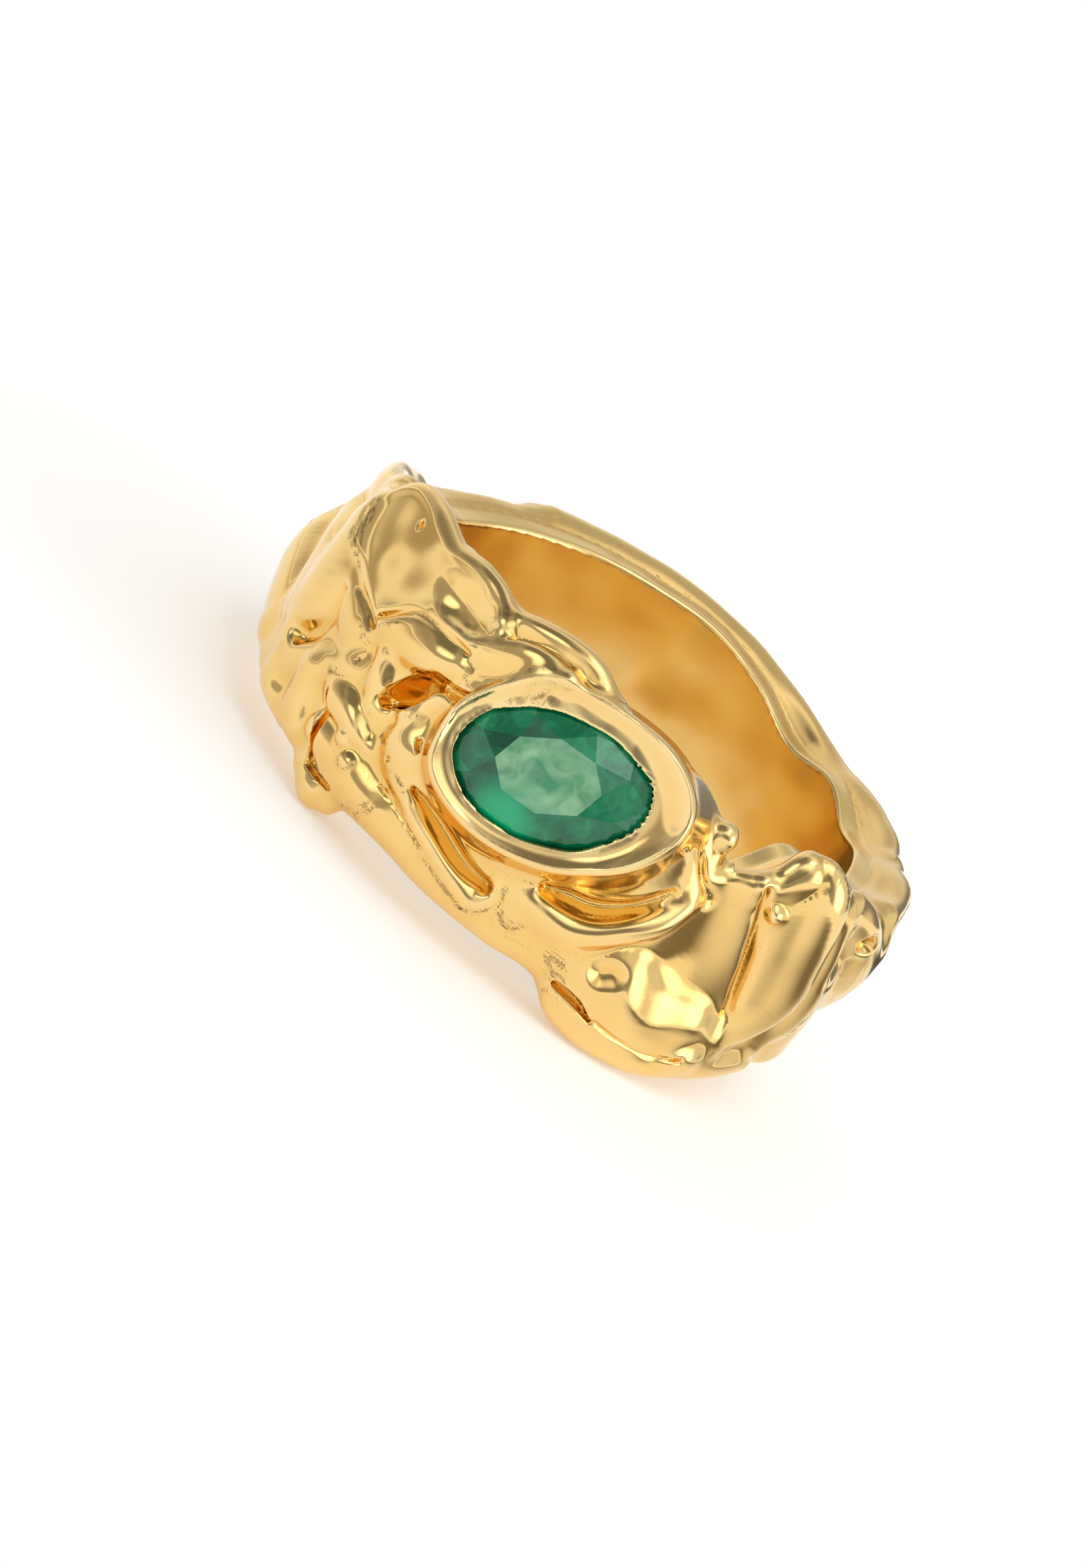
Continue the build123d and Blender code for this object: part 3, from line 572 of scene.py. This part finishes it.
# %% Slight unevenness
waves = [(3, 1.1, .3, .022), (7, -.8, 1.9, .02), (11, 1.7, 4.1, .016), (17, -1.3, 2.2, .014),
         (23, 2.1, .9, .012), (31, -2.6, 5.2, .009)]
theta = (arcs / WRAP)[:, None]
ripple = sum(high * np.sin(turns * theta + pitch * heights[None, :] + start)
             for turns, pitch, start, high in waves)
outside = np.clip((radii - BAND_INSIDE) / 0.6, 0, 1)
skin += (ripple[..., None] * outside * 0.6).astype(np.float32)
print("unevenness up to", round(float(np.abs(ripple).max()), 3), "mm")

# %% [markdown]
# Deep folds look a stronger orange than the open ridges, because light bounces between walls
# of gold many times there. The finish paints that shade into the gold's colour, and paints a
# lighter highlight onto the ridges. A blurred copy of the skin tells a ridge from a hollow, and
# the finish reads it as a number on each point.

# %% Telling ridges from hollows
def blurred(field, reach):
    for axis in range(3):
        n = field.shape[axis]
        pad = [(reach + 1, reach) if k == axis else (0, 0) for k in range(3)]
        padded = np.pad(field, pad, mode="wrap" if axis == 0 else "edge")
        total = np.cumsum(padded, axis=axis, dtype=np.float64)
        low = np.take(total, range(n), axis=axis)
        high = np.take(total, range(2 * reach + 1, n + 2 * reach + 1), axis=axis)
        field = ((high - low) / (2 * reach + 1)).astype(np.float32)
    return field


soft_skin = blurred(np.clip(skin, -1.2, 1.2), round(0.3 / STEP))
print("blurred over 0.6 mm")

# %% Reading the grid between its points
def read(field, points):
    i = points[:, 0] % AROUND
    j = np.clip(points[:, 1], 0, size[1] - 1.001)
    k = np.clip(points[:, 2], 0, size[2] - 1.001)
    i0, j0, k0 = i.astype(int) % AROUND, j.astype(int), k.astype(int)
    fi, fj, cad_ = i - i.astype(int), j - j0, k - k0
    i1 = (i0 + 1) % AROUND
    value = 0
    for ii, wi in ((i0, 1 - fi), (i1, fi)):
        for jj, wj in ((j0, 1 - fj), (j0 + 1, fj)):
            for kk, wk in ((k0, 1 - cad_), (k0 + 1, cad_)):
                value = value + field[ii, jj, kk] * wi * wj * wk
    return value


def slope(field, points):
    steps = np.eye(3)
    return np.stack([(read(field, points + s) - read(field, points - s)) / 2 for s in steps], axis=1)


def bent_round(points):
    turn = (points[:, 0] - AROUND / 2) * ARC / WRAP
    z = heights[0] + points[:, 1] * STEP
    r = radii[0] + points[:, 2] * STEP
    return np.stack([r * np.sin(turn), -r * np.cos(turn), z], axis=1)


def flattened(placed):
    r = np.hypot(placed[:, 0], placed[:, 1])
    turn = np.arctan2(placed[:, 0], -placed[:, 1])
    steps_round = turn * WRAP / ARC + AROUND / 2
    return np.stack([steps_round, (placed[:, 2] - heights[0]) / STEP, (r - radii[0]) / STEP], axis=1)


def skin_normals(points):
    turn = (points[:, 0] - AROUND / 2) * ARC / WRAP
    r = radii[0] + points[:, 2] * STEP
    push = slope(skin, points)
    lean, rise, out = push[:, 0] / ARC * WRAP / r, push[:, 1] / STEP, push[:, 2] / STEP
    x = lean * np.cos(turn) + out * np.sin(turn)
    y = lean * np.sin(turn) - out * np.cos(turn)
    normal = np.stack([x, y, rise], axis=1)
    return normal / np.maximum(np.linalg.norm(normal, axis=1), 1e-6)[:, None]


print("a point on the front of the bore:", bent_round(flattened(np.array([[0, -BORE, 0]]))).round(2).tolist())


# %% [markdown]
# Each piece is now meshed. OpenVDB turns a grid of distances into a net of quads, which is then
# bent round the finger and pulled onto the exact skin. The normals come from the skin's
# slope, so that the mirror finish shows no facets.

# %% The grid of one piece
OVERLAP, SINK = 0.09, 0.015
SEAM_MARGIN = 4
WHOLE_HOOPS = ("finger_sleeve", "molten_band")


def joined_runs(runs):
    base = runs[0][0][0]
    half = AROUND // 2
    placed = [(base + (rows[0] - base + half) % AROUND - half, span, field) for rows, span, field in runs]
    low = min(start for start, _, _ in placed)
    high = max(start + field.shape[0] for start, _, field in placed)
    first = min(span.start for _, span, _ in placed)
    last = max(span.stop for _, span, _ in placed)
    whole = np.full((high - low, last - first, size[2]), FAR, dtype=np.float32)
    for start, span, field in placed:
        target = whole[start - low:start - low + field.shape[0], span.start - first:span.stop - first]
        np.minimum(target, field, out=target)
    return np.arange(low, high), slice(first, last), whole


def piece_solid(name, stride):
    if name in WHOLE_HOOPS:
        rows = np.arange(-SEAM_MARGIN * stride, AROUND + SEAM_MARGIN * stride, stride)
        span = every_height
        field = shapes[name][0][2][rows % AROUND][:, span]
    else:
        rows, span, field = joined_runs(shapes[name])
    wrapped = rows % AROUND
    mine = owner[wrapped][:, span] == names.index(name)
    rival = np.where(mine, next_gap[wrapped][:, span], nearest_gap[wrapped][:, span])
    past = (field - rival) / 2
    sunk = skin[wrapped][:, span] + SINK * np.clip(past / OVERLAP, 0, 1)
    solid = np.maximum(sunk, past - OVERLAP)
    if stride > 1:
        solid = solid[:, ::stride, ::stride]
    return rows, span, np.ascontiguousarray(solid, dtype=np.float32)


print("pieces overlap by", OVERLAP, "mm and sink by", SINK, "mm where they do")


# %% A net of quads, pulled onto the skin
PULLS = 3


def quad_net(rows, span, solid, stride, whole):
    grid = vdb.FloatGrid(background=1.0)
    grid.gridClass = vdb.GridClass.LEVEL_SET
    grid.copyFromArray(solid)
    points, quads = grid.convertToQuads(isovalue=0.0)
    points = points.astype(np.float64)
    if whole:
        middles = points[quads].mean(axis=1)[:, 0] - SEAM_MARGIN - 0.5
        quads = quads[(middles >= 0) & (middles < AROUND / stride)]
    points = points * stride + [rows[0], span.start, 0]
    used, flat = np.unique(quads, return_inverse=True)
    return points[used], flat.reshape(-1, 4)


def pulled_on(points, on_skin):
    for _ in range(PULLS):
        value, push = read(skin, points), slope(skin, points)
        move = value[:, None] * push / np.maximum((push**2).sum(axis=1), 1e-6)[:, None]
        points = points - np.where(on_skin[:, None], np.clip(move, -0.5, 0.5), 0)
    return points


def weld_seam(mesh):
    net = bmesh.new()
    net.from_mesh(mesh)
    at_seam = [v for v in net.verts if v.co.y > 5 * MM and abs(v.co.x) < 0.3 * MM]
    bmesh.ops.remove_doubles(net, verts=at_seam, dist=0.002 * MM)
    net.to_mesh(mesh)
    net.free()


def read_vectors(mesh, layer):
    values = np.empty(len(mesh.vertices) * 3)
    mesh.vertices.foreach_get(layer, values)
    return values.reshape(-1, 3)


print("the net is pulled onto the skin in", PULLS, "rounds")


# %% Making one piece
def mesh_piece(name, material):
    whole = name in WHOLE_HOOPS
    stride = 2 if whole else 1
    rows, span, solid = piece_solid(name, stride)
    points, quads = quad_net(rows, span, solid, stride, whole)
    on_skin = np.abs(read(skin, points)) < 0.35 * STEP * stride
    points = pulled_on(points, on_skin)
    mesh = bpy.data.meshes.new(name)
    mesh.from_pydata((bent_round(points) * MM).tolist(), [], quads[:, ::-1].tolist())
    # Each point keeps the blurred skin, which tells the finish where to paint shade into hollows and a
    # highlight onto ridges.
    mark = mesh.attributes.new("hollow_painted_shade", "FLOAT", "POINT")
    mark.data.foreach_set("value", read(soft_skin, points).astype(np.float32))
    if whole:
        weld_seam(mesh)
        points = flattened(read_vectors(mesh, "co") / MM)
        on_skin = np.abs(read(skin, points)) < 0.2 * STEP
    normal, plain = skin_normals(points), read_vectors(mesh, "normal")
    agrees = (plain * normal).sum(axis=1)
    normal = np.where((on_skin & (agrees > 0.3))[:, None], normal, plain)
    mesh.shade_smooth()
    mesh.normals_split_custom_set_from_vertices(normal.tolist())
    piece = bpy.data.objects.new(name + "_gold", mesh)
    bpy.context.scene.collection.objects.link(piece)
    mesh.materials.append(material)
    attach(piece, "root")
    print(name, len(mesh.polygons), "quads, agree", round(float(np.mean(agrees[on_skin] > 0)), 3))
    return piece


# %% [markdown]
# ## Finishes
# Every finish starts from what the real one is. Colours are written as sRGB hex values, the way
# a colour chart gives them, and one function turns them into the linear light that Blender
# adds up.

# %% Colours and nodes
def colour(text):
    values = [int(text[k:k + 2], 16) / 255 for k in (1, 3, 5)]
    return tuple(v / 12.92 if v <= 0.04045 else ((v + 0.055) / 1.055)**2.4 for v in values) + (1.0,)


def add(tree, kind, settings=(), values=(), links=()):
    node = tree.nodes.new(kind)
    for key, value in dict(settings).items():
        setattr(node, key, value)
    for key, value in dict(values).items():
        node.inputs[key].default_value = value
    for key, source in dict(links).items():
        tree.links.new(source, node.inputs[key])
    return node


def new_finish(name):
    material = bpy.data.materials.new(name)
    material.use_nodes = True
    tree = material.node_tree
    tree.nodes.clear()
    return material, tree


def noise(tree, place, grain_mm, detail, warp=0.0):
    scale = 1 / (grain_mm * MM)
    return add(tree, "ShaderNodeTexNoise", {}, {"Scale": scale, "Detail": detail, "Distortion": warp},
               {"Vector": place.outputs["Object"]})


def ranged(tree, source, low, high, to_low=0.0, to_high=1.0, kind="LINEAR"):
    limits = {"From Min": low, "From Max": high, "To Min": to_low, "To Max": to_high}
    return add(tree, "ShaderNodeMapRange", {"interpolation_type": kind}, limits, {"Value": source})


def sums(tree, operation, numbers, sources):
    return add(tree, "ShaderNodeMath", {"operation": operation}, numbers, sources).outputs["Value"]


def colours(tree, source, stops):
    node = add(tree, "ShaderNodeValToRGB", {}, {}, {"Fac": source})
    ramp = node.color_ramp
    ramp.elements[0].position, ramp.elements[0].color = stops[0][0], colour(stops[0][1])
    ramp.elements[1].position, ramp.elements[1].color = stops[-1][0], colour(stops[-1][1])
    for position, text in stops[1:-1]:
        ramp.elements.new(position).color = colour(text)
    return node.outputs["Color"]


def finished(tree, surface):
    add(tree, "ShaderNodeOutputMaterial", {}, {}, {"Surface": surface})


print("mid grey as light:", round(colour("#808080")[0], 3))

# %% [markdown]
# 18 carat yellow gold is 75 % gold with silver and copper. Polished with rouge it is a tinted
# mirror: the eye sees the room in it, and the metal's own colour only as a tint. Hollows that
# a polishing wheel can't reach stay slightly rough from the casting, with a fine grain. Its
# colour here also carries painted shade in the hollows and a painted highlight on the ridges.

# %% Polished cast gold
# Painted shade: this colour stands for the bottom of a crevice, darkened by light meeting gold many times.
CREVICE_PAINTED_SHADE = "#6E430C"  # the bottom of a crevice, where light has met gold many times


def polished_gold(name, ridge_painted_highlight, body, hollow_painted_shade, gloss, dull, wave_mm, wave_high):
    material, tree = new_finish(name)
    place = add(tree, "ShaderNodeTexCoord")
    mark = add(tree, "ShaderNodeAttribute", {"attribute_name": "hollow_painted_shade"})
    level = ranged(tree, mark.outputs["Fac"], -0.28, 0.1).outputs["Result"]
    # The ramp runs from painted crevice shade, through painted shade in the hollows and the gold's own body
    # colour, to a painted highlight on the ridges.
    gold_with_painted_shade = colours(tree, level, [(0.0, CREVICE_PAINTED_SHADE), (0.25, hollow_painted_shade), (0.55, body), (1.0, ridge_painted_highlight)])
    cloud = noise(tree, place, 3.0, 3.0).outputs["Fac"]
    multiply = {"data_type": "RGBA", "blend_type": "MULTIPLY"}
    warm = add(tree, "ShaderNodeMix", multiply, {"B": colour("#F6EBD8")}, {"A": gold_with_painted_shade, "Factor": cloud})
    rough = ranged(tree, level, 0.05, 0.5, dull, gloss).outputs["Result"]
    mottled = sums(tree, "MULTIPLY_ADD", {1: 0.06, 2: -0.02}, {0: cloud})
    finish = sums(tree, "ADD", {}, {0: rough, 1: mottled})
    swell = noise(tree, place, wave_mm, 1.0).outputs["Fac"]
    wavy = add(tree, "ShaderNodeBump", {}, {"Strength": 1.0, "Distance": wave_high * MM}, {"Height": swell})
    grain = noise(tree, place, 0.16, 4.0).outputs["Fac"]
    rasp = ranged(tree, level, 0.0, 0.35, 0.9, 0.03).outputs["Result"]
    bump = add(tree, "ShaderNodeBump", {}, {"Distance": 0.012 * MM},
               {"Strength": rasp, "Height": grain, "Normal": wavy.outputs["Normal"]})
    shader = add(tree, "ShaderNodeBsdfPrincipled", {}, {"Metallic": 1.0},
                 {"Base Color": warm.outputs["Result"], "Roughness": finish,
                  "Normal": bump.outputs["Normal"]})
    finished(tree, shader.outputs["BSDF"])
    return material


# Ridge colour with painted highlight, body colour, hollow colour with painted shade, roughness on ridges and
# in hollows, long waves and their height.
outer_gold = polished_gold("polished cast 18 carat gold",
                           "#FBE1A4", "#F1CB7A", "#D89C38", 0.09, 0.26, 1.6, 0.01)
bezel_gold = polished_gold("burnished bezel gold",
                           "#FBE3AA", "#F2CD80", "#D89E3C", 0.09, 0.22, 2.0, 0.006)
lining_gold = polished_gold("satin polished lining gold",
                            "#FCE09E", "#FADD92", "#F0BF5C", 0.2, 0.3, 3.5, 0.3)
print("gold finishes made")

# %% Put the gold pieces on the frame
special = {"finger_sleeve": (lining_gold, "lining_gold"), "bezel_wall": (bezel_gold, "bezel_gold"),
           "bezel_seat": (bezel_gold, "bezel_gold")}
for name in names:
    finish, slot = special.get(name, (outer_gold, "molten_gold"))
    piece = mesh_piece(name, finish)
    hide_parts(name)

# %% [markdown]
# ## The emerald
# Emerald is beryl tinted green by chromium, with an IOR of 1.58. Natural stones are full of
# fine wisps and haze, so light scatters in them and they look like deep green water. The cut
# stone is already in the frame, facet by facet, so only its finish is made here. The finish
# paints reflections into the green: lighter and darker facets, a bright flash and a light table.

# %% Where the painted flash sits
box_low, box_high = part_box("emerald")
stone_middle = [(box_low[k] + box_high[k]) / 2 for k in range(3)]
painted_flash_way = -0.9 * stone_long - 1.25 * stone_short
painted_flash_spot = tuple(stone_middle[k] + float(painted_flash_way[k]) * MM for k in range(3))
print("the flash is at mm", [round(v / MM, 2) for v in painted_flash_spot])


# %% Hazy natural emerald
def hazy_emerald():
    material, tree = new_finish("hazy natural emerald")
    place = add(tree, "ShaderNodeTexCoord")
    facing = add(tree, "ShaderNodeNewGeometry").outputs["True Normal"]
    wisps = noise(tree, place, 0.9, 6.0, 1.2).outputs["Fac"]
    # Painted reflections: the noise reads each facet's own direction and makes the facet a lighter or darker
    # green, as light reflected inside the stone would.
    facet_painted_reflection = add(tree, "ShaderNodeTexNoise", {}, {"Scale": 2.3, "Detail": 0.0},
                {"Vector": facing}).outputs["Fac"]
    mixed = sums(tree, "MULTIPLY_ADD", {1: 0.55, 2: -0.05}, {0: wisps})
    wisps_and_painted_reflections = sums(tree, "MULTIPLY_ADD", {1: 0.55}, {0: facet_painted_reflection, 2: mixed})
    body = colours(tree, wisps_and_painted_reflections, [(0.32, "#00553A"), (0.52, "#0C875A"), (0.72, "#3AC08A")])
    # Painted flash: a bright green spot at the lower left of the table, where the pavilion reflects light,
    # painted into the colour.
    away = add(tree, "ShaderNodeVectorMath", {"operation": "DISTANCE"}, {1: painted_flash_spot},
               {0: place.outputs["Object"]}).outputs["Value"]
    painted_flash = ranged(tree, away, 1.65 * MM, 0.9 * MM, 0.0, 0.95, "SMOOTHSTEP").outputs["Result"]
    with_painted_flash = add(tree, "ShaderNodeMix", {"data_type": "RGBA"}, {"B": colour("#00D896")},
              {"A": body, "Factor": painted_flash})
    # The table gets a lighter green: partly the haze of the wisps, partly a painted reflection of the bright
    # tent.
    table_way = tuple(float(v) for v in stone_out)
    faces_out = add(tree, "ShaderNodeVectorMath", {"operation": "DOT_PRODUCT"}, {1: table_way}, {0: facing})
    on_table = sums(tree, "GREATER_THAN", {1: 0.995}, {0: faces_out.outputs["Value"]})
    table_haze_and_painted_reflection = colours(tree, wisps, [(0.3, "#56AE7E"), (0.75, "#C2F0C4")])
    cover = sums(tree, "MULTIPLY", {1: 0.88}, {0: on_table})
    dressed = add(tree, "ShaderNodeMix", {"data_type": "RGBA"}, {},
                  {"A": with_painted_flash.outputs["Result"], "B": table_haze_and_painted_reflection, "Factor": cover})
    glass = add(tree, "ShaderNodeBsdfPrincipled", {},
                {"IOR": 1.58, "Roughness": 0.03, "Transmission Weight": 0.35},
                {"Base Color": dressed.outputs["Result"]})
    finished(tree, glass.outputs["BSDF"])
    return material


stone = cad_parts["emerald"]
stone.data.materials.clear()
stone.data.materials.append(hazy_emerald())

# %% [markdown]
# ## Studio
# A jeweller's light tent is almost all white, because polished gold shows only what is round
# it. The ring lies on paper, and soft-edged cards on the paper draw the darker lines that
# give the folds their shape.

# %% Boards and directions
def board(name, centre, normal, width, height, material, hidden=True):
    n = Vector(normal).normalized()
    side = n.cross(Vector((0, 0, 1)) if abs(n.z) < 0.95 else Vector((0, 1, 0))).normalized()
    up = side.cross(n)
    across, along = side * width * MM / 2, up * height * MM / 2
    c = Vector(centre) * MM
    mesh = bpy.data.meshes.new(name)
    mesh.from_pydata([c - across - along, c + across - along, c + across + along, c - across + along],
                     [], [(0, 1, 2, 3)])
    mesh.materials.append(material)
    obj = bpy.data.objects.new(name, mesh)
    bpy.context.scene.collection.objects.link(obj)
    if hidden:
        obj.visible_camera = False
        obj.visible_shadow = False
        obj.visible_diffuse = False
    return obj


def toward(azimuth, elevation):
    a, e = math.radians(azimuth), math.radians(elevation)
    return Vector((math.sin(a) * math.cos(e), -math.cos(a) * math.cos(e), math.sin(e)))


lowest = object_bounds()[0][2] / MM
print("the ring's lowest point is", round(lowest, 2), "mm under the bore's middle")


# %% Paper floor
def matt_paper():
    material, tree = new_finish("matt white paper")
    fibre = noise(tree, add(tree, "ShaderNodeTexCoord"), 6, 4.0).outputs["Fac"]
    tone = ranged(tree, fibre, 0.0, 1.0, 0.93, 0.96)
    paper = add(tree, "ShaderNodeBsdfPrincipled", {},
                {"Roughness": 0.9, "Emission Color": colour("#FFFFFF"), "Emission Strength": 0.28},
                {"Base Color": tone.outputs["Result"]})
    finished(tree, paper.outputs["BSDF"])
    return material


PAPER = 2400
board("paper_floor", (0, 0, lowest - 0.02), (0, 0, 1), PAPER, PAPER, matt_paper(), hidden=False)
print("paper", PAPER, "mm square")


# %% Softbox over the ring
def softbox(name, azimuth, elevation, distance, width, height, brightness):
    lamp = bpy.data.lights.new(name, "AREA")
    lamp.shape, lamp.size, lamp.size_y = "RECTANGLE", width * MM, height * MM
    lamp.energy = brightness * math.pi * lamp.size * lamp.size_y
    obj = bpy.data.objects.new(name, lamp)
    way = toward(azimuth, elevation)
    obj.location = way * distance * MM
    obj.rotation_euler = way.to_track_quat("Z", "Y").to_euler()
    bpy.context.scene.collection.objects.link(obj)
    return obj


softbox("top_light", 20, 70, 420, 160, 160, 1.2)
print("one softbox 420 mm away")


# %% Soft-edged cards
def soft_card(name, tone, radius, centre, normal):
    felt, tree = new_finish("soft-edged card, " + name)
    spread = add(tree, "ShaderNodeTexCoord").outputs["Object"]
    reach = add(tree, "ShaderNodeVectorMath", {"operation": "DISTANCE"}, {1: tuple(Vector(centre) * MM)},
                {0: spread}).outputs["Value"]
    fade = ranged(tree, reach, radius * MM, radius * 0.2 * MM, kind="SMOOTHSTEP").outputs["Result"]
    dark = add(tree, "ShaderNodeEmission", {}, {"Color": colour("#FFF3DC"), "Strength": tone})
    clear = add(tree, "ShaderNodeBsdfTransparent")
    both = add(tree, "ShaderNodeMixShader", {}, {},
               {0: fade, 1: clear.outputs["BSDF"], 2: dark.outputs["Emission"]})
    finished(tree, both.outputs["Shader"])
    return board(name, centre, normal, 2 * radius, 2 * radius, felt)


# Name, azimuth, distance, radius and brightness.
cards = [("card_right_low", 84, 32, 24, .22), ("card_behind_right", 150, 36, 24, .1),
         ("card_left_low", -90, 84, 66, .45)]
for name, azimuth, distance, radius, tone in cards:
    at = toward(azimuth, 0) * distance
    soft_card(name, tone, radius, (at.x, at.y, lowest + 0.15), (0, 0, 1))
print("cards:", len(cards))

# %% [markdown]
# The tent's cloth is not evenly bright. Each patch below has an azimuth, an elevation, a
# radius in degrees and how much brighter or darker its middle is than the cloth.

# %% The tent
CLOTH, DIMMEST = 0.85, 0.22
patches = [(-47, 56, 36, -.62), (-76, 36, 36, -.36), (-42, 2, 30, -.42), (-95, 0, 45, -.36),
           (157, 0, 34, -.7), (14, 22, 24, -.6), (40, 5, 26, -.5), (175, 55, 40, -.3), (-40, 28, 17, 1.3),
           (84, 16, 28, 1.6), (0, 85, 34, .3), (15, 47, 26, .7), (-130, 5, 25, .25)]
world = bpy.data.worlds.new("tent")
world.use_nodes = True
sky = world.node_tree
way = add(sky, "ShaderNodeTexCoord").outputs["Generated"]
brightness = None
for azimuth, elevation, reach, amount in patches:
    patch_way = tuple(toward(azimuth, elevation))
    facing = add(sky, "ShaderNodeVectorMath", {"operation": "DOT_PRODUCT"}, {1: patch_way},
                 {0: way}).outputs["Value"]
    edge = math.cos(math.radians(reach))
    lobe = ranged(sky, facing, edge, 1.0, 0.0, amount, "SMOOTHSTEP").outputs["Result"]
    if brightness:
        brightness = sums(sky, "ADD", {}, {0: lobe, 1: brightness})
    else:
        brightness = sums(sky, "ADD", {1: CLOTH}, {0: lobe})
dimmest = sums(sky, "SMOOTH_MAX", {1: DIMMEST, 2: 0.2}, {0: brightness})
tent_light = sky.nodes["Background"]
tent_light.inputs["Color"].default_value = (1.0, 0.985, 0.96, 1)
sky.links.new(dimmest, tent_light.inputs["Strength"])
bpy.context.scene.world = world
bpy.context.scene.view_settings.view_transform = "Standard"
print("patches of the tent:", len(patches))

# %% The camera
AZIMUTH, ELEVATION, ROLL = 2.5, 15, math.radians(41.6)
DISTANCE, SHIFT_RIGHT, SHIFT_UP = 300, -1.111, -0.523
back = toward(AZIMUTH, ELEVATION)
level_right = Vector((math.cos(math.radians(AZIMUTH)), math.sin(math.radians(AZIMUTH)), 0))
level_up = back.cross(level_right)
right = math.cos(ROLL) * level_right + math.sin(ROLL) * level_up
up = -math.sin(ROLL) * level_right + math.cos(ROLL) * level_up
lens = bpy.data.cameras.new("camera")
lens.lens, lens.sensor_width = 214.97, 36
lens.clip_start, lens.clip_end = 0.02, 10
camera = bpy.data.objects.new("camera", lens)
where = (back * DISTANCE + right * SHIFT_RIGHT + up * SHIFT_UP) * MM
camera.matrix_world = Matrix.Translation(where) @ Matrix((right, up, back)).transposed().to_4x4()
bpy.context.scene.collection.objects.link(camera)
bpy.context.scene.camera = camera
print("camera at mm", [round(v / MM, 1) for v in where])
